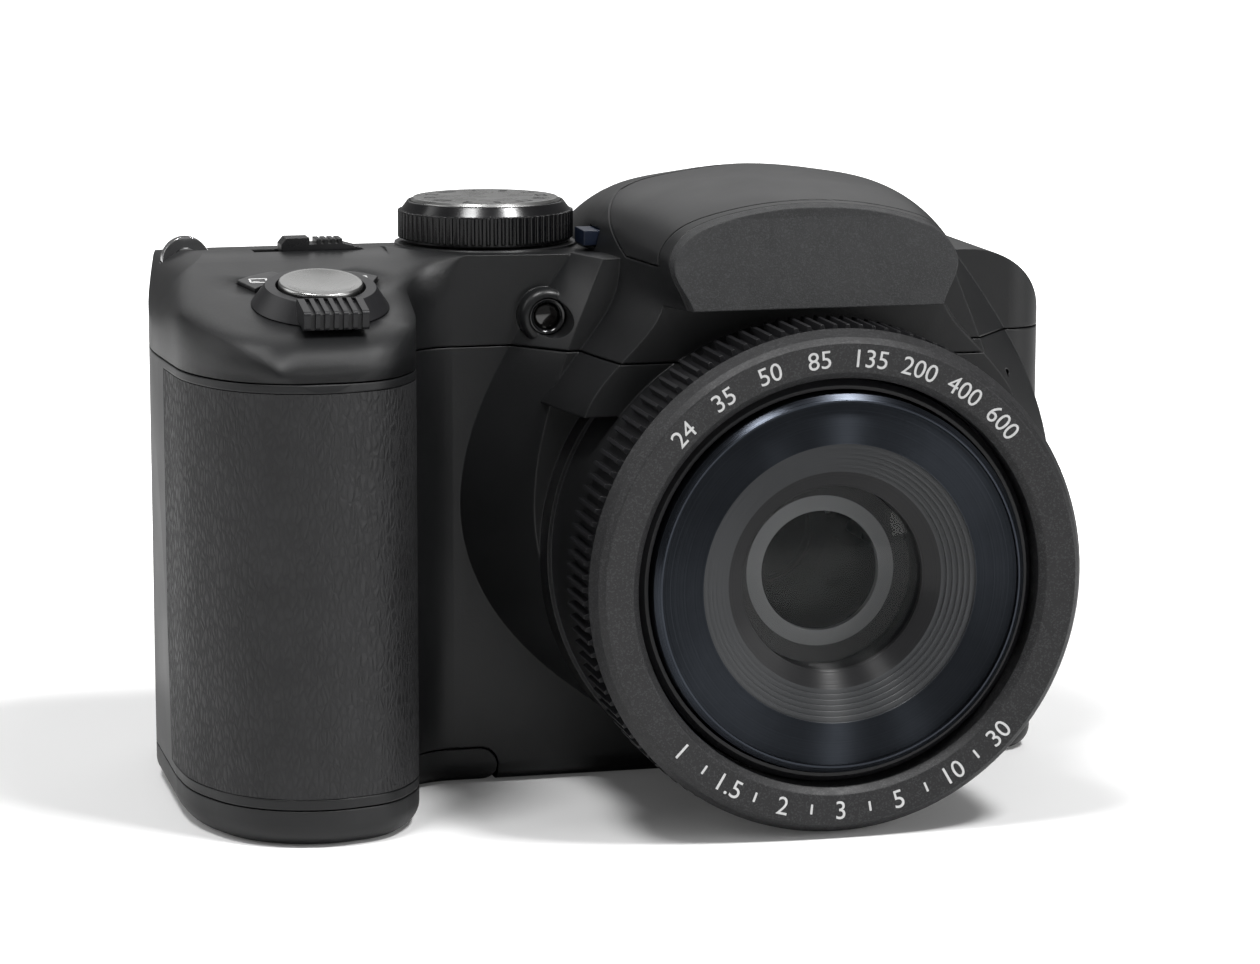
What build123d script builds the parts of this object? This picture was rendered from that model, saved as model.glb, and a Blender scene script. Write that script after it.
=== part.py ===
"""A bridge camera: moulded shell, retracting zoom lens, pop-up flash and battery grip.

Built in a working frame: X runs right as seen from the front, with 0 on the lens axis,
Y runs to the back, with 0 at the shell's front face, and Z runs up, with 0 at the base.
Each solid is then moved so that the origin is the mouth of the tripod socket.
"""
from build123d import *
import os
from math import cos, degrees, radians, sin, tan

os.makedirs("parts", exist_ok=True)

# Shell
side_left = 77.4            # lens axis to the grip's outer side
side_left_rear = 72.0       # the same, at the back
side_right = 38.7
shell_depth = 38.5
deck_height = 68.0
wall = 2.2
seam_height = 56.4          # joint between the front and top covers
rear_seam = 27.0            # joint between the front and rear covers
seam_gap = 0.22
front_corner_radius = 5.5
rear_corner_radius = 6.5
grip_rear_radius = 12.0
bottom_edge_radius = 1.6
foot_radius = 2.8           # rounding all round the base
left_shoulder_radius = 10.0
right_shoulder_radius = 11.0
right_shoulder_drop = 1.2
left_bottom_tuck = 1.0
overrun = 4.0               # how far a cutting solid runs past what it cuts
fit_gap = 0.3               # clearance between faces of pieces that move apart
seat_gap = 0.1              # clearance between pieces that are fixed together
running_gap = 0.05          # radial clearance of a pin or shaft in its bore

# Grip
grip_reach = 27.4           # how far the grip stands in front of the front face
grip_left_bulge_y = 8.0
grip_root_x = -46.6
grip_root_radius = 7.0
grip_side_radius = 55.0
# Its outline from above, from the outer side to the root: shares of its width and of its reach,
# and each corner's radius as a share of its reach
grip_shares = ((0.951, 0.511, 0.85), (0.766, 0.945, 0.5), (0.435, 1.0, 0.42),
               (0.195, 0.927, 0.32), (0.045, 0.675, 0.5))
deck_tilt = 11.5            # degrees that the grip's top leans forward
deck_break_y = 11.0         # the deck's highest line: before it the grip's top leans down
deck_rear_drop = 2.8        # how far the deck falls behind that line
grip_top_radius = 9.0
deck_break_radius = 30.0
deck_blend_width = 8.6      # over which the lean dies out beside the grip
skin_thickness = 1.0
skin_bottom = 6.0
skin_top = 55.3
skin_left_y = -2.0
skin_step_x = -63.0         # the skin's edge runs level to here, then slants to the root
skin_right_y = -13.0

# Lens
lens_height = 31.3
shroud_front = 7.2          # how far the flared base stands in front of the front face
shroud_flare = 8.0          # how much wider the flare is at its foot
shroud_half_width = 31.0
# Its ridge from foot to top: shares of the half width, of the deck's height and of the flare
ridge_shares = ((0.39, 0.047, 0.0), (0.67, 0.182, 0.55), (0.884, 0.324, 0.9), (1.0, 0.485, 1.0),
                (0.987, 0.647, 0.95), (0.884, 0.812, 0.75), (0.723, 0.998, 0.3))
collar_radius = 30.5
collar_front = 11.0         # where the collar steps down to the neck behind the knurled ring
neck_radius = 29.9
neck_front = 24.0
bore_radius = 28.9
barrel_outer_radius = 28.6
barrel_inner_radius = 27.2
barrel_front = 33.0
barrel_rear = 11.0
knurl_crest_radius = 31.1
knurl_root_radius = 30.2
knurl_count = 120
knurl_share = 0.52          # share of the pitch that a rib takes
bezel_radius = 30.9
bezel_rear_radius = 30.3
bezel_shoulder = 34.9
bezel_chamfer_radius = 30.1
bezel_chamfer = 36.6
bezel_land_radius = 29.4
bezel_front = 37.4
bezel_inner_land_radius = 25.9
bezel_inner_front = 37.0
bezel_lip = 36.2
opening_radius = 25.06
cam_outer_radius = 26.9
cam_inner_radius = 25.05
cam_front = 31.5
cam_rear = 9.0
stage_one_radius = 24.7
stage_one_bore = 23.55
stage_one_front = 34.9
stage_one_rear = 5.0
stage_two_radius = 23.2
stage_two_bore = 22.3
stage_two_front = 36.9
stage_two_rear = 8.0
stage_chamfer = 0.7
plate_front = 36.3
plate_rim_radius = 17.1
rib_count = 6
rib_drop = 0.38
ribbed_radius = 13.4
plate_thickness = 1.3
mouth_radius = 11.4
mouth_depth = 2.6
holder_wall = 1.3
holder_rear = 15.0
front_lens_front = 33.6
front_lens_crown = 1.5
front_lens_thickness = 3.6
baffle_land_radius = 9.35
baffle_hole_radius = 7.45
baffle_front = 27.4
baffle_thickness = 1.0
baffle_dish = 0.8
second_lens_front = 24.6
second_lens_thickness = 4.2
second_lens_crown = 1.6
rear_plate_thickness = 2.2
rear_plate_bottom = 7.2
sensor_width = 17.0
sensor_height = 14.0
sensor_thickness = 1.6
sensor_window_width = 8.0
sensor_window_height = 6.4
sensor_window_proud = 0.5
guide_rod_radius = 0.8
guide_rod_offset = 12.5
guide_rod_front = 11.0
carrier_radius = 9.0
carrier_rear = 3.0
carrier_thickness = 3.0
focus_lens_crown = 0.8
carrier_boss_radius = 2.6
focus_lens_radius = 7.0
motor_radius = 5.0
motor_end_gap = 0.8         # between the motor's shaft and the main board
motor_x = 29.6
motor_z = 10.4
motor_shaft_radius = 1.2
motor_shaft_length = 1.4

# Flash housing above the lens
hump_front = 26.0
hump_middle_y = 6.0
hump_base = 50.0
brow_bottom = 63.4
brow_lean = 2.6             # how far the brow's top lies behind its bottom
brow_thickness = 1.7
brow_step = 19.5            # the face below the brow lies this far in front of the front face
hump_front_width = 17.4
hump_front_height = 74.3
hump_middle_width = 21.2
hump_middle_height = 78.0
hump_rear_width = 19.6
hump_rear_height = 70.4
# Half outlines of the housing: shares of the width, and of the rise above its base
hump_front_shares = ((1.44, 0.0), (1.16, 0.28), (0.87, 0.55), (1.0, 0.745),
                     (0.92, 0.852), (0.7, 0.93), (0.36, 0.985))
hump_middle_shares = ((1.45, 0.0), (1.2, 0.28), (1.06, 0.5), (1.0, 0.66),
                      (0.93, 0.79), (0.77, 0.9), (0.46, 0.965))
hump_rear_shares = ((1.25, 0.0), (1.15, 0.28), (1.08, 0.5), (1.0, 0.68),
                    (0.86, 0.85), (0.66, 0.95), (0.34, 0.99))
brow_front_foot = 0.4
lid_seam_height = 68.2
lid_front = 21.9            # where the lid starts, at its crown
lid_front_low = 20.0        # the same at its side seam, so that it swings clear of the brow
lid_side_rear = -9.0
lid_rear = 8.0
lid_corner_height = 74.8    # where the side seam turns up to the hinge
lid_gap = 0.25
lid_rear_gap = 1.2
lid_pin_radius = 0.7
lid_pin_drop = 1.75         # pin axis below the housing's crown
lid_knuckle_radius = 1.2
lid_knuckle_half = 2.5
lid_knuckle_end = 6.2
head_half_width = 13.0
head_front = 19.0
head_rear = 9.0
head_bottom = 65.8
head_top = 72.0
head_frame = 1.2
reflector_depth = 5.0
tube_radius = 1.2
window_thickness = 1.0

# Mode dial
dial_x = -32.8
dial_y = 14.3
dial_boss_radius = 11.7     # level disc of the deck that the dial stands on
dial_radius = 11.25
dial_skirt_height = 3.8
dial_height = 5.0
dial_top_radius = 10.0
dial_rib_count = 72
dial_rib_depth = 0.35
dial_shaft_radius = 2.0
dial_shaft_length = 5.0
dial_plate_radius = 9.6
dial_plate_thickness = 0.8
dial_plate_chamfer = 0.35
dial_plate_inset = 0.4

# Shutter button and zoom lever, on the grip's leaning top
shutter_x = -58.6
shutter_y = -10.6
shutter_radius = 5.15
shutter_top = 3.1
shutter_dish = 0.7
shutter_dish_width = 4.6
shutter_edge = 0.35
shutter_skirt = 3.4
shutter_stem_radius = 1.5
shutter_travel = 0.9
lever_base_radius = 8.4
lever_top_radius = 6.75
lever_height = 2.5
lever_bore = 5.5
lever_wall = 0.4
lever_hub_radius = 6.5
lever_hub_depth = 3.4
lever_knob_width = 7.9
lever_knob_reach = 11.6
lever_knob_height = 3.1
lever_knob_lift = 0.7
lever_knob_radius = 0.5
lever_groove_count = 6
lever_groove_width = 0.55
lever_groove_depth = 0.45
crescent_inner = 9.0
crescent_outer = 12.6
crescent_start = 38.0       # degrees from the X axis
crescent_end = 80.0
crescent_taper_share = 0.62  # how much of its spread the outer edge takes
crescent_proud = 0.45
crescent_travel = 0.5
crescent_gap = 0.2

# Power slider
slider_x = -54.6
slider_y = 13.2
slider_length = 10.2
slider_width = 3.4
slider_height = 1.5
slider_block_length = 3.0
slider_rib_run = 4.5
slider_rib_count = 4
slider_rib_width = 0.6
slider_travel = 3.2
slider_slot_depth = 1.0
slider_key_width = 1.6
slider_key_depth = 2.2
slider_low_height = 0.7

# Flash button
flash_button_y = 5.0
flash_button_length = 5.0
flash_button_height = 1.9
flash_button_lift = 0.4
flash_button_inner = 18.6
flash_button_travel = 0.8
flash_button_gap = 0.2

# Small things on the shell
lamp_x = -28.4
lamp_drop = 7.8             # below the deck
lamp_radius = 3.5
lamp_proud = 2.7
lamp_root = 1.6
lamp_bore = 2.4
lamp_edge = 1.05
lamp_window_front = 1.9
lamp_window_thickness = 1.2
mic_x = 31.7
mic_height = 51.2
mic_radius = 0.55
lug_radius = 3.1
lug_hole_radius = 1.7
lug_thickness = 1.8
lug_left_x = -70.6
lug_left_height = 65.7
lug_right_x = 37.4
lug_right_height = 60.6
lug_y = 21.0
lug_stem_length = 6.0
lug_stem_height = 2.4

# Battery bay and door
cell_radius = 7.25
cell_length = 50.5
cell_nub_radius = 2.75
cell_nub_height = 1.0
cell_bottom = 5.0
cell_places = ((-62.5, -13.6), (-62.5, 2.2), (-64.9, 17.9), (-49.1, 17.9))
bay_gap = 0.2
bay_wall = 0.9
bay_cap = 1.1
bay_top_gap = 0.45
contact_thickness = 0.4
contact_radius = 4.0
door_right = -34.6
door_height = 4.6
door_gap = 0.2
door_pin_radius = 0.8
door_knuckle_start = 8.0
door_knuckle_end = 19.0
door_pin_inset = 1.5
door_spring_radius = 3.6
door_spring_height = 2.0
latch_x = -71.5
latch_y = 4.0
latch_length = 5.0
latch_width = 9.0
latch_travel = 2.0
latch_neck_width = 5.0
latch_slot_depth = 1.3
latch_keeper = 0.8
card_x = -38.4
card_thickness = 2.1
card_width = 24.0
card_length = 32.0
card_y = 3.5
card_bottom = 6.0
card_case_wall = 0.8
card_gap = 0.15

# Base
tripod_y = 18.0
bush_bore_radius = 3.2
bush_radius = 4.6
bush_flange_radius = 6.2
bush_flange_thickness = 1.4
bush_height = 6.2
bush_bore_depth = 5.2        # the socket is closed at its top
screw_head_radius = 1.7
screw_head_height = 0.8
screw_shank_radius = 0.8
screw_slot_share = 0.3
screw_length = 6.0
screw_boss_radius = 2.2
screw_places = ((-24.0, 8.0), (24.0, 8.0), (-24.0, 22.5), (21.0, 22.5))

# Side ports
port_door_front = 9.0
port_door_rear = 23.5
port_door_bottom = 20.0
port_door_top = 48.0
port_door_thickness = 1.4
port_pin_radius = 0.5
port_barrel_radius = 0.85
port_knuckle_share = 0.3
port_socket_depth = 6.0
data_port_width = 7.0
data_port_height = 3.2
video_port_width = 11.4
video_port_height = 3.4
socket_wall = 0.5
socket_tongue_inset = 1.5
data_port_centre = 28.0
video_port_centre = 39.0
socket_centre_y = 16.8

# Back
screen_left = -37.5
screen_right = 34.5
screen_bottom = 4.8
screen_top = 55.4
screen_edge_radius = 2.0
screen_window_thickness = 1.0
screen_window_proud = 0.2
panel_margin = 2.0
panel_thickness = 2.8
board_setback = 5.9          # main board's front to the back wall
board_thickness = 1.2
board_margin = 2.0
board_boss_radius = 1.5
main_chip_width = 14.0
key_board_thickness = 1.0
key_board_left = -68.0
key_board_right = -41.0
key_board_bottom = 8.0
key_board_top = 60.0
dome_radius = 1.3
dome_height = 0.6
button_proud = 0.8
button_flange = 0.7
button_flange_thickness = 0.8
button_travel = 0.5
button_gap = 0.15
button_edge = 0.3
record_radius = 3.0
record_x = -45.4
record_height = 50.5
small_button_radius = 2.6
pad_x = -52.6
pad_height = 28.5
pad_radius = 9.6
pad_hole_radius = 4.2
pad_dome_reach = 7.0
pad_proud = 1.0
ok_radius = 3.8
menu_height = 41.0
low_button_height = 13.5
button_left_x = -59.8
button_right_x = -45.4
thumb_left = -70.5
thumb_right = -53.5
thumb_bottom = 45.2
thumb_top = 55.6
thumb_proud = 3.6
thumb_radius = 3.0
thumb_corner = 5.0

# Other things inside
capacitor_radius = 4.6
capacitor_length = 30.0
capacitor_height = 50.0
top_board_thickness = 0.8
top_board_half_length = 12.0
top_board_front_reach = 5.8
top_board_rear_reach = 12.5
top_board_post_x = 8.6
top_board_post_y = -4.6
top_board_post_radius = 1.2

# Heights and places worked out from the sizes above

slope = tan(radians(deck_tilt))
rear_slope = deck_rear_drop / (shell_depth - deck_break_y)
body_top = hump_middle_height
lamp_height = deck_height - lamp_drop
far = side_left * 2         # past every face of the camera
top_board_drop = shutter_skirt + shutter_travel + seat_gap
crescent_depth = top_board_drop - crescent_travel - seat_gap
flash_button_outer = hump_middle_width + flash_button_travel + fit_gap * 2
door_axis_x = door_right - door_height / 2
door_axis_z = door_height / 2
door_rear = rear_seam - seam_gap / 2
lid_pin_z = body_top - lid_pin_drop
lid_pin_y = lid_rear + lid_knuckle_radius / 2
cell_top = cell_bottom + cell_length
bay_top = cell_top + bay_top_gap
inner_back = shell_depth - wall
board_front = inner_back - board_setback
board_rear = board_front + board_thickness
panel_rear = inner_back - bay_gap
screw_height = screw_head_height + screw_length
button_flange_rear = inner_back - button_gap
button_flange_front = button_flange_rear - button_flange_thickness
key_board_rear = button_flange_front - button_travel - running_gap - dome_height
key_board_front = key_board_rear - key_board_thickness
port_axis_x = side_right - port_barrel_radius
port_axis_y = port_door_front + port_barrel_radius
port_height = port_door_top - port_door_bottom
port_middle_low = port_door_bottom + port_height * port_knuckle_share
port_middle_high = port_door_top - port_height * port_knuckle_share
board_left = screen_left - board_margin
board_right = screen_right + board_margin / 2
board_bottom = screen_bottom
board_top = screen_top
board_boss_places = [(x, z) for x in (board_left + board_boss_radius, board_right - board_boss_radius)
                     for z in (board_bottom + board_boss_radius * 2, board_top - board_boss_radius * 2)]
key_boss_places = [(pad_x, key_board_bottom + board_boss_radius),
                   (pad_x, menu_height + small_button_radius)]
sensor_y = barrel_rear + rear_plate_thickness
capacitor_y = board_front - fit_gap - capacitor_radius
small_button_places = {
    "record_button": (record_x, record_height, record_radius),
    "menu_button": (button_left_x, menu_height, small_button_radius),
    "display_button": (button_right_x, menu_height, small_button_radius),
    "play_button": (button_left_x, low_button_height, small_button_radius),
}


# Helpers for solids along each axis

def block(x0, x1, y0, y1, z0, z1):
    return Pos((x0 + x1) / 2, (y0 + y1) / 2, (z0 + z1) / 2) * Box(x1 - x0, y1 - y0, z1 - z0)


def upright(radius, x, y, z0, z1):
    return Pos(x, y, (z0 + z1) / 2) * Cylinder(radius, z1 - z0)


def lengthwise(radius, y0, y1, x=0, z=lens_height):
    return Pos(x, (y0 + y1) / 2, z) * Rot(90, 0, 0) * Cylinder(radius, y1 - y0)


def crosswise(radius, x0, x1, y, z):
    return Pos((x0 + x1) / 2, y, z) * Rot(0, 90, 0) * Cylinder(radius, x1 - x0)


def tube(outer, inner, y0, y1, x=0, z=lens_height):
    return lengthwise(outer, y0, y1, x, z) - lengthwise(inner, y0 - overrun, y1 + overrun, x, z)


def front_plane(y):
    return Plane(origin=(0, y, 0), x_dir=(1, 0, 0), z_dir=(0, -1, 0))


def side_plane(x):
    return Plane(origin=(x, 0, 0), x_dir=(0, 1, 0), z_dir=(1, 0, 0))


def plan_prism(face, z0, z1):
    return extrude(Pos(0, 0, z0) * face, amount=z1 - z0, dir=(0, 0, 1))


def front_prism(face, y0, y1):
    return extrude(front_plane(y1) * face, amount=y1 - y0, dir=(0, -1, 0))


def side_prism(face, x0, x1):
    return extrude(side_plane(x0) * face, amount=x1 - x0, dir=(1, 0, 0))


def rounded_face(points, radii):
    return make_face(FilletPolyline(*points, radius=radii, close=True))


def inset_face(face, amount):
    return offset(face, amount=-amount) if amount else face


def turned(points):
    """A solid of revolution about the lens axis, from (radius, distance in front) points."""
    outline = make_face(Polyline(*[(radius, -front) for radius, front in points], close=True))
    return Pos(0, 0, lens_height) * revolve(outline, Axis.Y)


def deck_at(y):
    """Height of the deck above the grip at a distance back from the front face."""
    return deck_height - max(0, deck_break_y - y) * slope - max(0, y - deck_break_y) * rear_slope


def save(shape, name):
    """Write one piece, moved so that the origin is the mouth of the tripod socket."""
    solids = shape.solids()
    placed = [Pos(0, -tripod_y, 0) * solid for solid in solids]
    export_step(Compound(children=placed) if len(placed) > 1 else placed[0], f"parts/{name}.step")


# Outer form of the shell

def plan_face():
    width = side_left + grip_root_x
    points = [(-side_left_rear, shell_depth), (-side_left, grip_left_bulge_y)]
    points += [(grip_root_x - width * across, -grip_reach * out) for across, out, bend in grip_shares]
    points += [(grip_root_x, 0), (side_right, 0), (side_right, shell_depth)]
    radii = [grip_rear_radius, grip_side_radius, *[grip_reach * bend for across, out, bend in grip_shares],
             grip_root_radius, front_corner_radius, rear_corner_radius]
    return rounded_face(points, radii)


def front_face():
    points = [(-side_left + left_bottom_tuck, 0), (-side_left, deck_height),
              (grip_root_x, deck_height), (side_right, deck_height - right_shoulder_drop),
              (side_right, 0)]
    radii = [foot_radius, left_shoulder_radius, deck_break_radius,
             right_shoulder_radius, bottom_edge_radius]
    return rounded_face(points, radii)


def grip_side_face():
    front = -grip_reach - seat_gap
    rear = shell_depth + overrun
    points = [(front, -overrun), (front, deck_at(front)), (deck_break_y, deck_height),
              (rear, deck_at(rear)), (rear, -overrun)]
    radii = [bottom_edge_radius, grip_top_radius, deck_break_radius,
             bottom_edge_radius, bottom_edge_radius]
    return rounded_face(points, radii)


def deck_blend(inset):
    """What is cleared above the deck beside the grip, where its lean dies out."""
    front = -grip_root_radius
    top = deck_height + overrun
    profile = make_face(Polyline((deck_break_y, deck_height - inset), (front, deck_at(front) - inset),
                                 (front, top), (deck_break_y, top), close=True))
    rise = deck_break_y * slope / deck_blend_width
    return extrude(side_plane(grip_root_x + inset) * profile, amount=deck_blend_width * 2, dir=(1, 0, rise))


def deck_fall(inset):
    """What is cleared above the deck's rear, which falls to the back."""
    rear = shell_depth + overrun
    top = deck_height + overrun
    profile = make_face(Polyline((deck_break_y, deck_height - inset), (rear, deck_at(rear) - inset),
                                 (rear, top), (deck_break_y, top), close=True))
    return side_prism(profile, grip_root_x + inset, far)


def main_form(inset=0):
    """The shell without lens base and flash housing, or its hollow when inset by a wall."""
    form = plan_prism(inset_face(plan_face(), inset), 0, deck_height + overrun)
    if not inset:
        form = fillet(form.edges().group_by(Axis.Z)[0], foot_radius)
    form &= front_prism(inset_face(front_face(), inset), -grip_reach - overrun, shell_depth + overrun)
    grip_top = side_prism(inset_face(grip_side_face(), inset), -side_left - overrun, grip_root_x + inset)
    above = block(-side_left - overrun, grip_root_x + inset, -grip_reach - overrun,
                  shell_depth, skin_top / 2, deck_height + overrun)
    return form - (above - grip_top) - deck_blend(inset) - deck_fall(inset)


def shroud_form():
    """The flared base that sweeps from the front face to the lens."""
    sections = []
    for grow, y in ((shroud_flare, 0), (0, -shroud_front)):
        left = [(-shroud_half_width * across - grow * spread, deck_height * up)
                for across, up, spread in ridge_shares]
        right = [(-x, z) for x, z in reversed(left)]
        outline = [Spline(*left), Line(left[-1], right[0]), Spline(*right), Line(right[-1], left[0])]
        sections.append(front_plane(y) * make_face(outline))
    return loft(sections)


def hump_form(inset=0):
    sections = []
    front = -hump_front - brow_front_foot - overrun / 2
    for y, width, height, shares in (
            (front, hump_front_width, hump_front_height, hump_front_shares),
            (hump_middle_y, hump_middle_width, hump_middle_height, hump_middle_shares),
            (shell_depth - inset, hump_rear_width, hump_rear_height, hump_rear_shares)):
        rise = height - hump_base
        left = [(-share_x * (width - inset), hump_base + share_z * (rise - inset))
                for share_x, share_z in shares]
        crown = (0, height - inset)
        right = [(-x, z) for x, z in reversed(left)]
        outline = [Spline(*left, crown, *right), Line(right[-1], left[0])]
        sections.append(front_plane(y) * make_face(outline))
    return loft(sections)


def hump_profile(inset=0):
    """Side view of the flash housing, with the brow leaning over the lens."""
    front = -hump_front - brow_front_foot
    points = [(front, brow_bottom), (front + brow_lean, hump_front_height),
              (front + brow_lean, body_top + overrun), (shell_depth + overrun, body_top + overrun),
              (shell_depth + overrun, hump_base - overrun), (-brow_step, hump_base - overrun),
              (-brow_step, brow_bottom)]
    return inset_face(make_face(Polyline(*points, close=True)), inset)


def housing(inset=0):
    width = hump_middle_width * 2
    return hump_form(inset) & side_prism(hump_profile(inset), -width, width)


def build_shell():
    outer = main_form() + shroud_form() + housing()
    outer += lengthwise(collar_radius, -collar_front, wall) + lengthwise(neck_radius, -neck_front, wall)
    hollow = main_form(wall) + housing(wall)
    bore = lengthwise(bore_radius, -neck_front - overrun, wall + overrun)
    return outer - hollow - bore


# Regions that part the shell into covers

def above_seam():
    return block(-far, far, -far, far, seam_height + seam_gap / 2, far)


def front_region():
    return block(-far, far, -far, rear_seam - seam_gap / 2, -far, seam_height - seam_gap / 2)


def rear_region():
    return block(-far, far, rear_seam + seam_gap / 2, far, -far, seam_height - seam_gap / 2)


def skin_region(trim=0):
    """Where the grip's rubber skin lies, seen from above and cut level at both ends."""
    outline = [(-far, skin_left_y - trim), (skin_step_x, skin_left_y - trim),
               (grip_root_x + overrun, skin_right_y - trim), (grip_root_x + overrun, -far), (-far, -far)]
    return plan_prism(make_face(Polyline(*outline, close=True)), skin_bottom + trim, skin_top - trim)


def brow_slab(trim=0):
    """The flat plate on the brow's front, as a leaning slab."""
    front = -hump_front - brow_front_foot
    base = brow_bottom + trim
    points = [(front - overrun, base), (front + brow_thickness - trim, base),
              (front + brow_thickness - trim + brow_lean, hump_front_height),
              (front + brow_thickness - trim + brow_lean, body_top), (front - overrun, body_top)]
    width = hump_middle_width * 2
    return side_prism(make_face(Polyline(*points, close=True)), -width, width)


def lid_region(trim=0):
    """The part of the flash housing that lifts, in side view."""
    points = [(-lid_front_low + trim, lid_seam_height + trim),
              (lid_side_rear - trim, lid_seam_height + trim),
              (lid_rear - trim, lid_corner_height + trim), (lid_rear - trim, body_top + overrun),
              (-lid_front + trim, body_top + overrun)]
    width = hump_middle_width * 2
    return side_prism(make_face(Polyline(*points, close=True)), -width, width)


def door_region(gap=0):
    """The battery door's space: a slab with a round hinge end."""
    end = lengthwise(door_height / 2 + gap, -far, door_rear, door_axis_x, door_axis_z)
    return block(-far, door_axis_x, -far, door_rear, -overrun, door_height + gap) + end


def port_region(gap=0):
    return block(side_right - port_door_thickness - gap, side_right + overrun,
                 port_door_front - gap, port_door_rear + gap,
                 port_door_bottom - gap, port_door_top + gap)


tilted = Pos(shutter_x, shutter_y, deck_at(shutter_y)) * Rot(deck_tilt, 0, 0)


def crescent(side, gap=0):
    """Outline of one button that hugs the zoom lever, seen square to the deck."""
    inner = crescent_inner - gap
    outer = crescent_outer + gap
    middle = (crescent_start + crescent_end) / 2
    spread = (crescent_end - crescent_start) / 2 + degrees(gap / crescent_inner)
    corners = []
    short = spread * crescent_taper_share
    for radius, angles in ((inner, (-spread, 0, spread)), (outer, (short, 0, -short))):
        corners.append([(side * radius * cos(radians(middle + a)), radius * sin(radians(middle + a)))
                        for a in angles])
    inside, outside = corners
    edges = [ThreePointArc(*inside), Line(inside[-1], outside[0]), ThreePointArc(*outside),
             Line(outside[-1], inside[0])]
    return make_face(edges)


def lug_solid(x, z, inward, gap=0):
    front = lug_y - lug_thickness / 2 - gap
    rear = lug_y + lug_thickness / 2 + gap
    eye = lengthwise(lug_radius + gap, front, rear, x, z)
    stem_x = sorted((x, x + inward * (lug_stem_length + gap)))
    stem_half = lug_stem_height / 2 + gap
    stem = block(stem_x[0], stem_x[1], front, rear, z - stem_half, z + stem_half)
    return eye + stem


# Covers

def make_top_cover(shell):
    cover = shell & above_seam()
    cover -= lid_region() & block(-far, far, -far, far, lid_seam_height, far)
    cover -= brow_slab()
    for side in (1, -1):
        relief = crosswise(lid_knuckle_radius + fit_gap, lid_knuckle_half, lid_knuckle_end + fit_gap,
                           lid_pin_y, lid_pin_z)
        cover -= relief if side > 0 else mirror(relief, Plane.YZ)
    knuckle = crosswise(lid_knuckle_radius, -lid_knuckle_half + lid_gap, lid_knuckle_half - lid_gap,
                        lid_pin_y, lid_pin_z)
    root = block(-lid_knuckle_half + lid_gap, lid_knuckle_half - lid_gap, lid_pin_y,
                 lid_pin_y + overrun, lid_pin_z - lid_knuckle_radius, lid_pin_z + lid_knuckle_radius / 2)
    cover += (knuckle + root) & housing()
    cover -= crosswise(lid_pin_radius + running_gap, -lid_knuckle_end, lid_knuckle_end,
                       lid_pin_y, lid_pin_z)
    cover += upright(dial_boss_radius, dial_x, dial_y, deck_height - wall, deck_height)
    cover -= upright(dial_shaft_radius + running_gap, dial_x, dial_y,
                     deck_height - overrun, deck_height + overrun)
    # power slider: a shallow slot for the cap and a narrower one for its key
    slot_left = slider_x - slider_length / 2 - slider_travel - fit_gap
    slot_right = slider_x + slider_length / 2 + fit_gap
    half = slider_width / 2 + fit_gap
    cover -= block(slot_left, slot_right, slider_y - half, slider_y + half,
                   deck_at(slider_y) - slider_slot_depth, deck_height + overrun)
    key_half = slider_key_width / 2
    cover -= block(slider_x - key_half * 2 - slider_travel - fit_gap, slider_x + key_half * 2 + fit_gap,
                   slider_y - key_half - fit_gap, slider_y + key_half + fit_gap,
                   deck_height - wall - overrun, deck_height)
    # shutter group, square to the leaning deck
    cover -= tilted * Cylinder(lever_hub_radius + running_gap, overrun * 2)
    for side in (1, -1):
        cover -= tilted * extrude(Pos(0, 0, -overrun) * crescent(side, crescent_gap),
                                  amount=overrun * 2, dir=(0, 0, 1))
        post = Pos(side * top_board_post_x, top_board_post_y, -(wall + top_board_drop) / 2)
        cover += tilted * post * Cylinder(top_board_post_radius, top_board_drop - wall)
    cover -= flash_button_space()
    boss = lengthwise(lamp_radius, -lamp_proud, lamp_root, lamp_x, lamp_height)
    cover += fillet(boss.edges().group_by(Axis.Y)[0], lamp_edge) & above_seam()
    cover -= lengthwise(lamp_bore, -lamp_proud - overrun, wall + overrun, lamp_x, lamp_height)
    cover -= lug_solid(lug_left_x, lug_left_height, 1, seat_gap)
    cover -= lug_solid(lug_right_x, lug_right_height, -1, seat_gap)
    return cover


def flash_button_space():
    z = deck_height + flash_button_lift
    gap = flash_button_gap
    half = flash_button_length / 2 + gap
    return block(-flash_button_outer - gap, -flash_button_inner + overrun,
                 flash_button_y - half, flash_button_y + half, z - gap, z + flash_button_height + gap)


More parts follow.
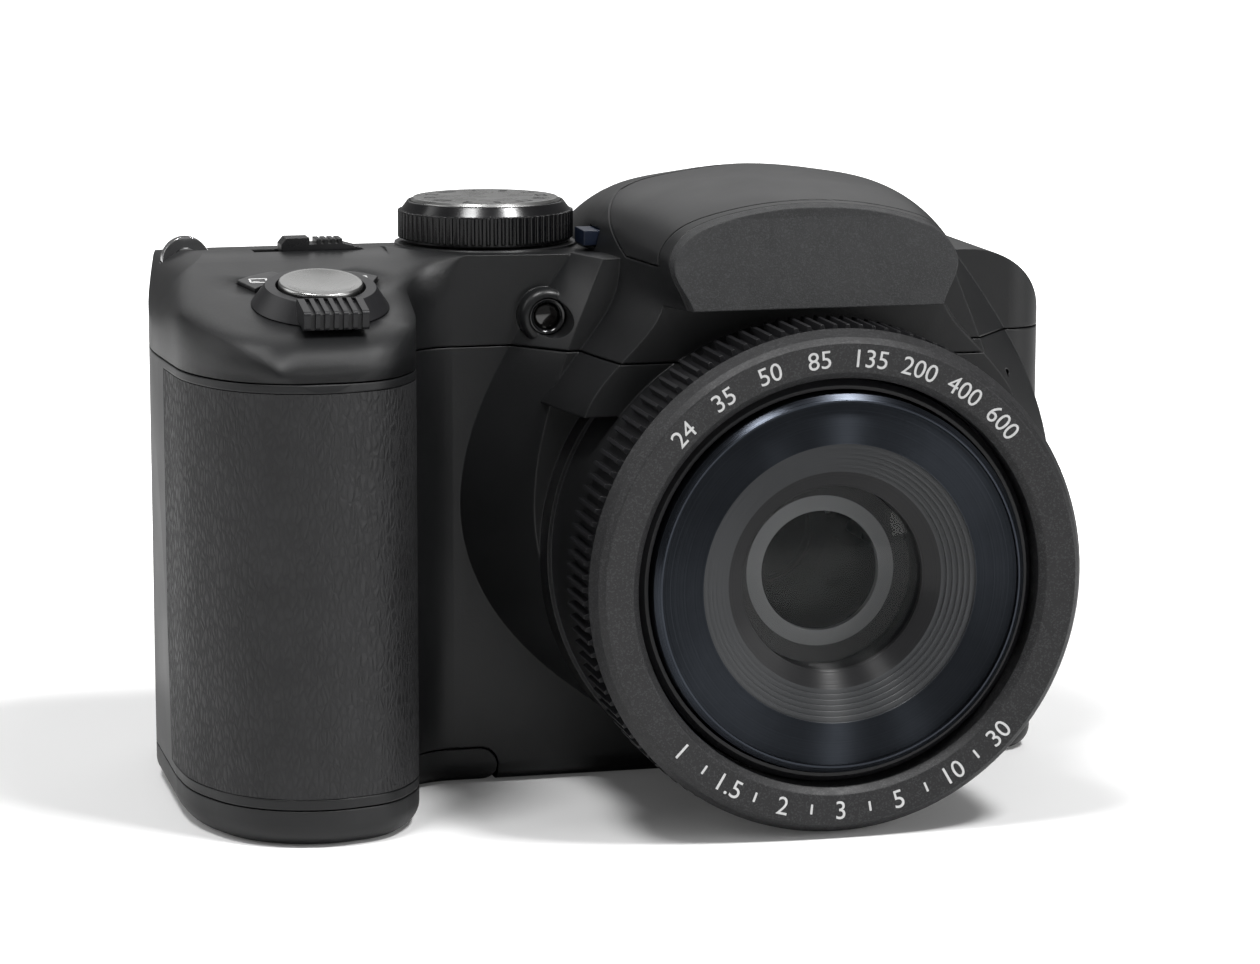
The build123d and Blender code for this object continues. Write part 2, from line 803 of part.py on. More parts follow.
def make_front_cover(shell):
    cover = shell & front_region()
    cover -= (main_form() - main_form(skin_thickness)) & skin_region()
    cover -= door_region(door_gap) & block(-far, door_right + door_gap, -far, far, -far, far)
    cover -= block(door_axis_x, door_right + door_gap, -far, far, -overrun, door_axis_z)
    knuckle = lengthwise(door_height / 2, door_knuckle_start + door_gap, door_knuckle_end - door_gap,
                         door_axis_x, door_axis_z)
    web = block(door_axis_x, door_right + wall, door_knuckle_start + door_gap,
                door_knuckle_end - door_gap, door_axis_z - wall / 4, door_axis_z + wall / 2)
    cover += knuckle + web
    cover -= lengthwise(door_pin_radius + running_gap, 0, rear_seam, door_axis_x, door_axis_z)
    cover -= upright(bush_radius + seat_gap, 0, tripod_y, -overrun, wall + overrun)
    cover -= upright(bush_flange_radius + seat_gap, 0, tripod_y, -overrun, bush_flange_thickness + seat_gap)
    for x, y in screw_places:
        cover += upright(screw_boss_radius, x, y, wall / 2, screw_height + wall)
        cover -= upright(screw_shank_radius + running_gap, x, y, -overrun, screw_height + seat_gap)
        cover -= upright(screw_head_radius + seat_gap, x, y, -overrun, screw_head_height + bay_gap)
    cover -= lengthwise(mic_radius, -overrun, wall + overrun, mic_x, mic_height)
    # side ports: the flap's recess, its hinge and the socket openings
    cover -= port_region(fit_gap)
    cover -= upright(port_barrel_radius + fit_gap, port_axis_x, port_axis_y,
                     port_door_bottom - fit_gap, port_door_top + fit_gap)
    cover += port_knuckle(port_middle_low, port_middle_high)
    cover -= upright(port_pin_radius + running_gap, port_axis_x, port_axis_y,
                     port_door_bottom, port_door_top)
    for width, height, z in ((data_port_width, data_port_height, data_port_centre),
                             (video_port_width, video_port_height, video_port_centre)):
        half_width = width / 2 + seat_gap
        half_height = height / 2 + seat_gap
        cover -= block(side_right - wall - overrun, side_right, socket_centre_y - half_width,
                       socket_centre_y + half_width, z - half_height, z + half_height)
    return cover


def make_rear_cover(shell):
    cover = shell & rear_region()
    cover -= screen_slab(-seat_gap, shell_depth - screen_window_thickness + screen_window_proud, far)
    cover -= screen_slab(panel_margin, inner_back - overrun, far)
    for x, z in board_boss_places:
        cover += lengthwise(board_boss_radius, board_rear, inner_back + wall / 2, x, z)
    for x, z, radius in small_button_places.values():
        cover -= lengthwise(radius + button_gap, inner_back - overrun, far, x, z)
    cover -= lengthwise(pad_radius + button_gap, inner_back - overrun, far, pad_x, pad_height)
    for x, z in key_boss_places:
        cover += lengthwise(board_boss_radius, key_board_rear, inner_back + wall / 2, x, z)
    return cover


def screen_slab(trim, y0, y1):
    slab = block(screen_left + trim, screen_right - trim, y0, y1, screen_bottom + trim, screen_top - trim)
    return fillet(slab.edges().filter_by(Axis.Y), screen_edge_radius)


def port_knuckle(z0, z1, gap=0):
    barrel = upright(port_barrel_radius, port_axis_x, port_axis_y, z0 + gap, z1 - gap)
    web = block(port_axis_x - port_barrel_radius - wall / 2, port_axis_x,
                port_axis_y - port_barrel_radius, port_axis_y, z0 + gap, z1 - gap)
    return barrel + web


def make_grip_skin():
    skin = (main_form() - main_form(skin_thickness)) & skin_region(seat_gap)
    return max(skin.solids(), key=lambda solid: solid.volume)


def make_brow_plate():
    plate = housing() & brow_slab(seat_gap)
    return max(plate.solids(), key=lambda solid: solid.volume)


# Lens

def make_fixed_barrel():
    return tube(barrel_outer_radius, barrel_inner_radius, -barrel_front, barrel_rear)


def make_knurled_ring():
    front = barrel_front
    rear = neck_front + seam_gap
    ring = lengthwise(knurl_root_radius, -front, -rear)
    pitch = 360 / knurl_count
    half = radians(pitch * knurl_share / 2)
    base = knurl_root_radius - seat_gap
    rib = make_face(Polyline((-base * sin(half), base * cos(half)),
                             (-knurl_crest_radius * sin(half * knurl_share), knurl_crest_radius),
                             (knurl_crest_radius * sin(half * knurl_share), knurl_crest_radius),
                             (base * sin(half), base * cos(half)), close=True))
    rib = front_prism(Pos(0, lens_height) * rib, -front + seam_gap, -rear - seam_gap)
    axis = Axis((0, 0, lens_height), (0, 1, 0))
    ribs = [rib.rotate(axis, pitch * i) for i in range(knurl_count)]
    ring = ring.fuse(*ribs)
    return ring - lengthwise(barrel_outer_radius + seat_gap, -front - overrun, -rear + overrun)


def make_front_bezel():
    return turned([(opening_radius, barrel_front), (bezel_rear_radius, barrel_front),
                   (bezel_radius, bezel_shoulder), (bezel_chamfer_radius, bezel_chamfer),
                   (bezel_land_radius, bezel_front), (bezel_inner_land_radius, bezel_inner_front),
                   (opening_radius, bezel_lip)])


def make_cam_ring():
    return tube(cam_outer_radius, cam_inner_radius, -cam_front, cam_rear)


def make_stage_one():
    return turned([(stage_one_bore, -stage_one_rear), (stage_one_radius, -stage_one_rear),
                   (stage_one_radius, stage_one_front - stage_chamfer),
                   (stage_one_radius - stage_chamfer, stage_one_front), (stage_one_bore, stage_one_front)])


def make_stage_two():
    return turned([(stage_two_bore, stage_two_rear), (stage_two_radius, stage_two_rear),
                   (stage_two_radius, stage_two_front - stage_chamfer),
                   (stage_two_radius - stage_chamfer, stage_two_front), (stage_two_bore, stage_two_front)])


def make_front_plate():
    """Flat outer band, stepped inner band and the tube that holds the glass."""
    rim = stage_two_bore - running_gap
    step = (plate_rim_radius - ribbed_radius) / rib_count
    outline = [(rim, plate_front - plate_thickness), (rim, plate_front), (plate_rim_radius, plate_front)]
    for i in range(rib_count):
        drop = plate_front - rib_drop * (i + 1)
        outline += [(plate_rim_radius - step * i, drop), (plate_rim_radius - step * (i + 1), drop)]
    deep = plate_front - rib_drop * rib_count
    mouth = deep - mouth_depth / 2
    holder = mouth_radius + holder_wall
    outline += [(mouth_radius, mouth), (mouth_radius, holder_rear), (holder, holder_rear),
                (holder, deep - plate_thickness * 2), (plate_rim_radius, plate_front - plate_thickness * 2)]
    return turned(outline)


def lens_solid(radius, front, thickness, crown):
    """A glass element with a domed front and a flat back."""
    edge = front - crown
    sag_radius = (radius ** 2 + crown ** 2) / (2 * crown)
    half = radius / 2
    middle = front - sag_radius + (sag_radius ** 2 - half ** 2) ** 0.5
    lines = [Line((0, -front + thickness), (radius, -front + thickness)),
             Line((radius, -front + thickness), (radius, -edge)),
             ThreePointArc((radius, -edge), (half, -middle), (0, -front)),
             Line((0, -front), (0, -front + thickness))]
    return Pos(0, 0, lens_height) * revolve(make_face(lines), Axis.Y)


def make_front_lenses():
    radius = mouth_radius - running_gap
    front = lens_solid(radius, front_lens_front, front_lens_thickness, front_lens_crown)
    second = lens_solid(radius, second_lens_front, second_lens_thickness, second_lens_crown)
    return Compound(children=[front.solids()[0], second.solids()[0]])


def make_baffle_ring():
    outer = mouth_radius - running_gap
    rear = baffle_front - baffle_thickness
    return turned([(baffle_hole_radius, rear), (outer, rear), (outer, baffle_front + baffle_dish),
                   (baffle_land_radius, baffle_front), (baffle_hole_radius, baffle_front)])


def make_rear_plate():
    plate = lengthwise(barrel_outer_radius, barrel_rear, sensor_y)
    plate &= block(-far, far, -far, far, rear_plate_bottom, far)
    ear_x = motor_x + motor_radius
    plate += block(motor_x - motor_radius * 2, ear_x, barrel_rear, sensor_y, rear_plate_bottom,
                   motor_z + motor_radius)
    half_width = sensor_window_width / 2 + seat_gap
    half_height = sensor_window_height / 2 + seat_gap
    plate -= block(-half_width, half_width, barrel_rear - overrun, sensor_y + overrun,
                   lens_height - half_height, lens_height + half_height)
    for side in (1, -1):
        plate -= lengthwise(guide_rod_radius + running_gap, barrel_rear - overrun, sensor_y,
                            side * guide_rod_offset)
    return plate


def make_image_sensor():
    chip = block(-sensor_width / 2, sensor_width / 2, sensor_y, sensor_y + sensor_thickness,
                 lens_height - sensor_height / 2, lens_height + sensor_height / 2)
    window = block(-sensor_window_width / 2, sensor_window_width / 2,
                   sensor_y - sensor_window_proud, sensor_y,
                   lens_height - sensor_window_height / 2, lens_height + sensor_window_height / 2)
    return chip + window


def make_guide_rods():
    rods = [lengthwise(guide_rod_radius, -guide_rod_front, sensor_y, side * guide_rod_offset)
            for side in (1, -1)]
    return Compound(children=[rod.solids()[0] for rod in rods])


def make_focus_carrier():
    y0, y1 = carrier_rear - carrier_thickness, carrier_rear
    carrier = lengthwise(carrier_radius, y0, y1)
    for side in (1, -1):
        carrier += lengthwise(carrier_boss_radius, y0, y1, side * guide_rod_offset)
        inner = sorted((0, side * guide_rod_offset))
        carrier += block(inner[0], inner[1], y0, y1, lens_height - carrier_boss_radius / 2,
                         lens_height + carrier_boss_radius / 2)
    for side in (1, -1):
        carrier -= lengthwise(guide_rod_radius + running_gap, y0 - overrun, y1 + overrun,
                              side * guide_rod_offset)
    return carrier - lengthwise(focus_lens_radius, y0 - overrun, y1 + overrun)


def make_focus_lens():
    return lens_solid(focus_lens_radius - running_gap, carrier_thickness - carrier_rear,
                      carrier_thickness, focus_lens_crown)


def make_zoom_motor():
    can_rear = board_front - motor_shaft_length - motor_end_gap
    can = lengthwise(motor_radius, sensor_y, can_rear, motor_x, motor_z)
    return can + lengthwise(motor_shaft_radius, can_rear, can_rear + motor_shaft_length, motor_x, motor_z)


# Flash

def make_flash_lid(shell):
    lid = shell & lid_region(lid_gap)
    lid &= block(-far, far, -far, lid_rear - lid_rear_gap, lid_seam_height, far)
    lid -= brow_slab()
    lid = max(lid.solids(), key=lambda solid: solid.volume)
    for side in (1, -1):
        knuckle = crosswise(lid_knuckle_radius, lid_knuckle_half, lid_knuckle_end, lid_pin_y, lid_pin_z)
        arm = block(lid_knuckle_half, lid_knuckle_end, lid_rear - overrun, lid_pin_y,
                    lid_pin_z - lid_knuckle_radius, lid_pin_z + lid_knuckle_radius / 2)
        hinge = (knuckle + arm) & housing()
        lid += hinge if side > 0 else mirror(hinge, Plane.YZ)
    lid -= crosswise(lid_knuckle_radius + fit_gap, -lid_knuckle_half, lid_knuckle_half,
                     lid_pin_y, lid_pin_z)
    return lid - crosswise(lid_pin_radius + running_gap, -lid_knuckle_end - overrun,
                           lid_knuckle_end + overrun, lid_pin_y, lid_pin_z)


def make_flash_head():
    head = block(-head_half_width, head_half_width, -head_front, -head_rear, head_bottom, far)
    head &= housing(wall)
    reflector = block(-head_half_width + head_frame, head_half_width - head_frame,
                      -head_front - overrun, -head_front + reflector_depth,
                      head_bottom + head_frame, head_top - head_frame)
    return head - reflector


def make_flash_window():
    trim = head_frame + seat_gap
    return block(-head_half_width + trim, head_half_width - trim, -head_front,
                 -head_front + window_thickness, head_bottom + trim, head_top - trim)


def make_flash_tube():
    trim = head_frame
    centre_y = -head_front + window_thickness + tube_radius + fit_gap
    return crosswise(tube_radius, -head_half_width + trim, head_half_width - trim, centre_y,
                     (head_bottom + head_top) / 2)


def make_flash_button():
    z = deck_height + flash_button_lift
    return block(-flash_button_outer, -flash_button_inner, flash_button_y - flash_button_length / 2,
                 flash_button_y + flash_button_length / 2, z, z + flash_button_height)


# Top controls

def make_mode_dial():
    base = deck_height + fit_gap
    dial = upright(dial_radius - dial_rib_depth, dial_x, dial_y, base, base + dial_skirt_height)
    pitch = 360 / dial_rib_count
    rib_radius = dial_radius * radians(pitch) * knurl_share / 2
    ribs = [upright(rib_radius, dial_x + (dial_radius - rib_radius) * cos(radians(pitch * i)),
                    dial_y + (dial_radius - rib_radius) * sin(radians(pitch * i)),
                    base + dial_rib_depth, base + dial_skirt_height) for i in range(dial_rib_count)]
    dial = dial.fuse(*ribs)
    top = Pos(dial_x, dial_y, base + (dial_skirt_height + dial_height) / 2)
    dial += top * Cone(dial_radius - dial_rib_depth, dial_top_radius, dial_height - dial_skirt_height)
    dial += upright(dial_shaft_radius, dial_x, dial_y, base - dial_shaft_length, base)
    return dial - upright(dial_plate_radius + seat_gap, dial_x, dial_y,
                          base + dial_height - dial_plate_inset, base + dial_height + overrun)


def make_dial_plate():
    z = deck_height + fit_gap + dial_height - dial_plate_inset
    plate = upright(dial_plate_radius, dial_x, dial_y, z, z + dial_plate_thickness)
    return chamfer(plate.edges().group_by(Axis.Z)[-1], dial_plate_chamfer)


def make_shutter_button():
    body = Pos(0, 0, shutter_top / 2) * Cylinder(shutter_radius, shutter_top)
    body = fillet(body.edges().group_by(Axis.Z)[-1], shutter_edge)
    stem = Pos(0, 0, -shutter_skirt / 2) * Cylinder(shutter_stem_radius, shutter_skirt + seat_gap)
    ball = (shutter_dish_width ** 2 + shutter_dish ** 2) / (2 * shutter_dish)
    return tilted * (body + stem - Pos(0, 0, shutter_top + ball - shutter_dish) * Sphere(ball))


def make_zoom_lever():
    ring = Pos(0, 0, (lever_height + seat_gap) / 2) * Cone(lever_base_radius, lever_top_radius,
                                                           lever_height - seat_gap)
    hub = Pos(0, 0, (seat_gap * 2 - lever_hub_depth) / 2) * Cylinder(lever_hub_radius, lever_hub_depth)
    knob = block(-lever_knob_width / 2, lever_knob_width / 2, -lever_knob_reach, -lever_bore - lever_wall,
                 lever_knob_lift, lever_knob_height)
    knob = fillet(knob.edges().filter_by(Axis.X), lever_knob_radius)
    pitch = lever_knob_width / (lever_groove_count + 1)
    for i in range(lever_groove_count):
        x = -lever_knob_width / 2 + pitch * (i + 1)
        half = lever_groove_width / 2
        knob -= block(x - half, x + half, -far, -lever_knob_reach + lever_groove_depth, -far, far)
        knob -= block(x - half, x + half, -lever_knob_reach - overrun, -lever_bore - lever_wall * 2,
                      lever_knob_height - lever_groove_depth, far)
    lever = ring + hub + knob
    return tilted * (lever - Cylinder(lever_bore, far))


def make_crescent(side):
    top = crescent_proud
    bottom = -crescent_depth
    return tilted * extrude(Pos(0, 0, bottom) * crescent(side), amount=top - bottom, dir=(0, 0, 1))


def make_top_board():
    z = -top_board_drop - top_board_thickness
    board = block(-top_board_half_length, top_board_half_length, -top_board_front_reach,
                  top_board_rear_reach, z, z + top_board_thickness)
    return (tilted * board) & main_form(wall + fit_gap)


def make_power_slider():
    deck = deck_at(slider_y)
    z = deck - slider_slot_depth + seat_gap
    half = slider_width / 2
    left = slider_x - slider_length / 2
    right = slider_x + slider_length / 2
    step = slider_x - slider_block_length / 2
    low = deck + slider_low_height
    profile = make_face(Polyline(
        (left, z), (right, z), (right, deck + seat_gap), (step + slider_rib_run, low), (step, low),
        (step, deck + slider_height), (left + slider_low_height, deck + slider_height), (left, low),
        close=True))
    slider = front_prism(profile, slider_y - half, slider_y + half)
    for i in range(slider_rib_count):
        x = step + slider_rib_run * (i + 1) / (slider_rib_count + 1)
        slider += block(x, x + slider_rib_width, slider_y - half, slider_y + half,
                        deck, low + slider_rib_width)
    key = slider_key_width
    return slider + block(slider_x - key, slider_x + key, slider_y - key / 2, slider_y + key / 2,
                          z - slider_key_depth, z)


# Battery bay

def make_battery_box():
    outer = cell_radius + bay_gap + bay_wall
    box = upright(outer, *cell_places[0], cell_bottom, bay_top + bay_cap)
    for x, y in cell_places[1:]:
        box += upright(outer, x, y, cell_bottom, bay_top + bay_cap)
    box &= main_form(wall + fit_gap)
    for x, y in cell_places:
        box -= upright(cell_radius + bay_gap, x, y, cell_bottom - overrun, bay_top)
    return box


def make_cells():
    cells = []
    for i, (x, y) in enumerate(cell_places):
        nub_up = i % 2 == 0
        low = cell_bottom + (0 if nub_up else cell_nub_height)
        can = upright(cell_radius, x, y, low, low + cell_length - cell_nub_height)
        nub_z = cell_top - cell_nub_height if nub_up else cell_bottom
        nub = upright(cell_nub_radius, x, y, nub_z, nub_z + cell_nub_height)
        cells.append((can + nub).solids()[0])
    return Compound(children=cells)


def make_top_contacts():
    plates = [upright(contact_radius, x, y, bay_top - contact_thickness, bay_top) for x, y in cell_places]
    return Compound(children=[plate.solids()[0] for plate in plates])


def make_door_contacts():
    springs = [upright(door_spring_radius, x, y, wall, wall + door_spring_height) for x, y in cell_places]
    return Compound(children=[spring.solids()[0] for spring in springs])


def make_battery_door(shell):
    door = shell & door_region()
    door = max(door.solids(), key=lambda solid: solid.volume)
    barrel = lengthwise(door_height / 2, 0, door_rear, door_axis_x, door_axis_z)
    door += barrel & main_form()
    door -= lengthwise(door_height / 2 + door_gap, door_knuckle_start, door_knuckle_end,
                       door_axis_x, door_axis_z)
    door -= lengthwise(door_pin_radius + running_gap, door_pin_inset - door_gap,
                       door_rear - door_pin_inset + door_gap, door_axis_x, door_axis_z)
    # recess, slot and underside track of the latch
    half_length = latch_length / 2
    half_width = latch_width / 2
    door -= block(latch_x - half_length - bay_gap, latch_x + half_length + bay_gap,
                  latch_y - half_width - bay_gap, latch_y + half_width + latch_travel + bay_gap,
                  -overrun, latch_slot_depth)
    neck = latch_neck_width / 2
    door -= block(latch_x - neck / 2 - bay_gap, latch_x + neck / 2 + bay_gap, latch_y - neck - bay_gap,
                  latch_y + neck + latch_travel + bay_gap, -overrun, wall + overrun / 2)
    return door


def make_door_latch():
    half_length = latch_length / 2
    half_width = latch_width / 2
    neck = latch_neck_width / 2
    plate = block(latch_x - half_length, latch_x + half_length, latch_y - half_width, latch_y + half_width,
                  bay_gap, latch_slot_depth - seat_gap)
    stem = block(latch_x - neck / 2, latch_x + neck / 2, latch_y - neck, latch_y + neck,
                 bay_gap, wall + seat_gap + latch_keeper)
    keeper = block(latch_x - half_length, latch_x + half_length, latch_y - neck, latch_y + neck,
                   wall + seat_gap, wall + seat_gap + latch_keeper)
    return plate + stem + keeper


def make_memory_card():
    return block(card_x - card_thickness / 2, card_x + card_thickness / 2, card_y, card_y + card_width,
                 card_bottom, card_bottom + card_length)


def make_card_slot():
    gap = card_gap
    side = card_case_wall
    case = block(card_x - card_thickness / 2 - gap - side, card_x + card_thickness / 2 + gap + side,
                 card_y - gap - side, card_y + card_width + gap + side, card_bottom + side,
                 card_bottom + card_length + gap + side)
    return case - block(card_x - card_thickness / 2 - gap, card_x + card_thickness / 2 + gap, card_y - gap,
                        card_y + card_width + gap, card_bottom - overrun, card_bottom + card_length + gap)


# Base

def make_tripod_bush():
    bush = upright(bush_radius, 0, tripod_y, 0, bush_height)
    bush += upright(bush_flange_radius, 0, tripod_y, 0, bush_flange_thickness)
    return bush - upright(bush_bore_radius, 0, tripod_y, -overrun, bush_bore_depth)


def make_case_screws():
    screws = []
    for x, y in screw_places:
        screw = upright(screw_head_radius, x, y, bay_gap, screw_head_height)
        screw += upright(screw_shank_radius, x, y, screw_head_height / 2, screw_height)
        slot = screw_shank_radius * screw_slot_share
        screw -= block(x - screw_head_radius, x + screw_head_radius, y - slot, y + slot, -overrun,
                       bay_gap * 2)
        screw -= block(x - slot, x + slot, y - screw_head_radius, y + screw_head_radius, -overrun,
                       bay_gap * 2)
        screws.append(screw.solids()[0])
    return Compound(children=screws)


# Side ports

def make_port_door():
    door = block(side_right - port_door_thickness, side_right, port_axis_y, port_door_rear,
                 port_door_bottom, port_door_top)
    low_end = port_middle_low - fit_gap / 2
    high_end = port_middle_high + fit_gap / 2
    door -= block(-far, far, -far, port_axis_y + port_barrel_radius + fit_gap, low_end, high_end)
    for low, high in ((port_door_bottom, low_end), (high_end, port_door_top)):
        door += upright(port_barrel_radius, port_axis_x, port_axis_y, low, high)
    return door - upright(port_pin_radius + running_gap, port_axis_x, port_axis_y,
                          port_door_bottom + wall / 2, port_door_top - wall / 2)


def make_socket(width, height, z):
    x1 = side_right - port_door_thickness - fit_gap * 2
    x0 = side_right - wall - port_socket_depth
    y0, y1 = socket_centre_y - width / 2, socket_centre_y + width / 2
    shell = block(x0, x1, y0, y1, z - height / 2, z + height / 2)
    hollow = block(x0 + socket_wall, x1 + overrun, y0 + socket_wall, y1 - socket_wall,
                   z - height / 2 + socket_wall, z + height / 2 - socket_wall)
    tongue = block(x0, x1 - socket_wall, y0 + socket_tongue_inset, y1 - socket_tongue_inset,
                   z - socket_wall / 2, z + socket_wall / 2)
    return shell - hollow + tongue


def make_side_sockets():
    sockets = (make_socket(data_port_width, data_port_height, data_port_centre),
               make_socket(video_port_width, video_port_height, video_port_centre))
    return Compound(children=[socket.solids()[0] for socket in sockets])


# Back

def make_screen_window():
    return screen_slab(0, shell_depth - screen_window_thickness + screen_window_proud,
                       shell_depth + screen_window_proud)


def make_screen_panel():
    inset = panel_margin
    return block(screen_left + inset, screen_right - inset, panel_rear - panel_thickness, panel_rear,
                 screen_bottom + inset, screen_top - inset)


def make_main_board():
    board = block(board_left, board_right, board_front, board_rear, board_bottom, board_top)
    half = main_chip_width / 2
    return board + block(-half, half, board_front - board_thickness, board_front,
                         lens_height - half, lens_height + half)


def make_key_board():
    board = block(key_board_left, key_board_right, key_board_front, key_board_rear, key_board_bottom,
                  key_board_top) & main_form(wall + fit_gap)
    places = [(x, z) for x, z, radius in small_button_places.values()] + [(pad_x, pad_height)]
    places += [(pad_x + pad_dome_reach * a, pad_height + pad_dome_reach * b)
               for a, b in ((1, 0), (-1, 0), (0, 1), (0, -1))]
    for x, z in places:
        board += lengthwise(dome_radius, key_board_rear, key_board_rear + dome_height, x, z)
    return board


def round_button(x, z, radius, proud):
    button = lengthwise(radius, button_flange_front, shell_depth + proud, x, z)
    button = fillet(button.edges().group_by(Axis.Y)[-1], button_edge)
    return button + lengthwise(radius + button_flange, button_flange_front, button_flange_rear, x, z)


def make_control_pad():
    pad = round_button(pad_x, pad_height, pad_radius, pad_proud)
    return pad - lengthwise(pad_hole_radius, -far, far, pad_x, pad_height)


def make_ok_button():
    button = lengthwise(ok_radius, button_flange_front, shell_depth + button_proud, pad_x, pad_height)
    return fillet(button.edges().group_by(Axis.Y)[-1], button_edge)


def make_thumb_pad():
    pad = block(thumb_left, thumb_right, shell_depth - grip_rear_radius, shell_depth + thumb_proud,
                thumb_bottom, thumb_top)
    pad = fillet(pad.edges().filter_by(Axis.Y), thumb_corner)
    pad = fillet(pad.edges().group_by(Axis.Y)[-1], thumb_radius)
    pad -= main_form()
    return max(pad.solids(), key=lambda solid: solid.volume)


# Small things on the shell

def make_lamp_window():
    return lengthwise(lamp_bore, -lamp_window_front, -lamp_window_front + lamp_window_thickness,
                      lamp_x, lamp_height)


def make_strap_lugs():
    lugs = []
    for x, z, inward in ((lug_left_x, lug_left_height, 1), (lug_right_x, lug_right_height, -1)):
        lug = lug_solid(x, z, inward) - lengthwise(lug_hole_radius, -far, far, x, z)
        lugs.append(lug.solids()[0])
    return Compound(children=lugs)


def make_capacitor():
    half = capacitor_length / 2
    return crosswise(capacitor_radius, -half, half, capacitor_y, capacitor_height)


def make_hinge_pins():
    pins = [crosswise(lid_pin_radius, -lid_knuckle_end, lid_knuckle_end, lid_pin_y, lid_pin_z),
            lengthwise(door_pin_radius, door_pin_inset, door_rear - door_pin_inset,
                       door_axis_x, door_axis_z),
            upright(port_pin_radius, port_axis_x, port_axis_y,
                    port_door_bottom + wall, port_door_top - wall)]
    return Compound(children=[pin.solids()[0] for pin in pins])


def build():
    shell = build_shell()
    save(make_front_cover(shell), "front_cover")
    save(make_top_cover(shell), "top_cover")
    save(make_rear_cover(shell), "rear_cover")
    save(make_grip_skin(), "grip_skin")
    save(make_brow_plate(), "brow_plate")
    save(make_thumb_pad(), "thumb_pad")
    save(make_fixed_barrel(), "lens_fixed_barrel")
    save(make_knurled_ring(), "knurled_ring")
    save(make_front_bezel(), "front_bezel_ring")
    save(make_cam_ring(), "cam_ring")
    save(make_stage_one(), "outer_zoom_barrel")
    save(make_stage_two(), "inner_zoom_barrel")
    save(make_front_plate(), "lens_front_plate")
    save(make_front_lenses(), "front_lens_group")
    save(make_baffle_ring(), "baffle_ring")
    save(make_rear_plate(), "lens_rear_plate")
    save(make_image_sensor(), "image_sensor")
    save(make_guide_rods(), "focus_guide_rods")
    save(make_focus_carrier(), "focus_carrier")
    save(make_focus_lens(), "focus_lens")
    save(make_zoom_motor(), "zoom_motor")
    save(make_flash_lid(shell), "flash_lid")
    save(make_flash_head(), "flash_head")
    save(make_flash_window(), "flash_window")
    save(make_flash_tube(), "flash_tube")
    save(make_capacitor(), "flash_capacitor")
    save(make_flash_button(), "flash_button")
    save(make_mode_dial(), "mode_dial")
    save(make_dial_plate(), "mode_dial_plate")
    save(make_shutter_button(), "shutter_button")
    save(make_zoom_lever(), "zoom_lever")
    save(make_crescent(-1), "exposure_button")
    save(make_crescent(1), "burst_button")
    save(make_top_board(), "top_switch_board")
    save(make_power_slider(), "power_slider")
    save(make_battery_box(), "battery_box")
    save(make_cells(), "battery_cells")
    save(make_top_contacts(), "battery_contacts")
    save(make_door_contacts(), "door_contacts")
    save(make_battery_door(shell), "battery_door")
    save(make_door_latch(), "battery_door_latch")
    save(make_card_slot(), "card_slot")
    save(make_memory_card(), "memory_card")
    save(make_tripod_bush(), "tripod_bush")
    save(make_case_screws(), "case_screws")
    save(make_port_door(), "port_door")
    save(make_hinge_pins(), "hinge_pins")
    save(make_side_sockets(), "side_sockets")
    save(make_screen_window(), "screen_window")
    save(make_screen_panel(), "screen_panel")
    save(make_main_board(), "main_board")
    save(make_key_board(), "rear_key_board")
    for name, (x, z, radius) in small_button_places.items():
        save(round_button(x, z, radius, button_proud), name)
    save(make_control_pad(), "control_pad")
    save(make_ok_button(), "ok_button")
    save(make_lamp_window(), "focus_lamp_window")
    save(make_strap_lugs(), "strap_lugs")


build()
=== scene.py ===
"""Looks of a bridge camera: the finish of every surface, its markings and its fine trim."""

from math import cos, pi, radians, sin

import bmesh
import bpy
from mathutils import Matrix, Vector


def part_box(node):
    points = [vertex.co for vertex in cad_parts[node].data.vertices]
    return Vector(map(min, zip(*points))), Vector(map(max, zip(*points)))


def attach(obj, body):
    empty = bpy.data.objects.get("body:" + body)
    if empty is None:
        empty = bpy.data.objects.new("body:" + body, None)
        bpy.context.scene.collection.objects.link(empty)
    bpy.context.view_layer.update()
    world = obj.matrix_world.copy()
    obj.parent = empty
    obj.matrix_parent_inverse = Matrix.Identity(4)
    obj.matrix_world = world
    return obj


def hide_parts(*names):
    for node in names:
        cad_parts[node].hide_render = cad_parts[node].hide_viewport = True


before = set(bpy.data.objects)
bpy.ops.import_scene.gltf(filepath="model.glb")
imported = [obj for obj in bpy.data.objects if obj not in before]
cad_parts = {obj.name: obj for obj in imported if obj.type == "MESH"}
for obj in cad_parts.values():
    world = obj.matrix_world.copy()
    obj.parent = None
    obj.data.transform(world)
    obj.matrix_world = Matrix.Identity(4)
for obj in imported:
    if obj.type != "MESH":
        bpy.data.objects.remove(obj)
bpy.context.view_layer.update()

MM = 0.001
WHOLE_TURN = 2 * pi

# Places on the camera, read from the frame
bezel_low, bezel_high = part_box("front_bezel_ring")
LENS_X = (bezel_low.x + bezel_high.x) / 2
LENS_Z = (bezel_low.z + bezel_high.z) / 2
BEZEL_FRONT = bezel_low.y
dial_low, dial_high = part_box("mode_dial_plate")
DIAL = Vector(((dial_low.x + dial_high.x) / 2, (dial_low.y + dial_high.y) / 2, dial_high.z))
lamp_low, lamp_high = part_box("focus_lamp_window")
LAMP = Vector(((lamp_low.x + lamp_high.x) / 2, lamp_low.y, (lamp_low.z + lamp_high.z) / 2))

# The deck round the shutter button, which leans forward, and the crescent keys on it
SHUTTER = Vector((-0.0586, -0.0286, 0.06360))
DECK_LEAN = radians(11.5)
SIGN_TURN = radians(54)
SIGN_RADIUS = 10.6 * MM
CRESCENT_TOP = 0.47 * MM

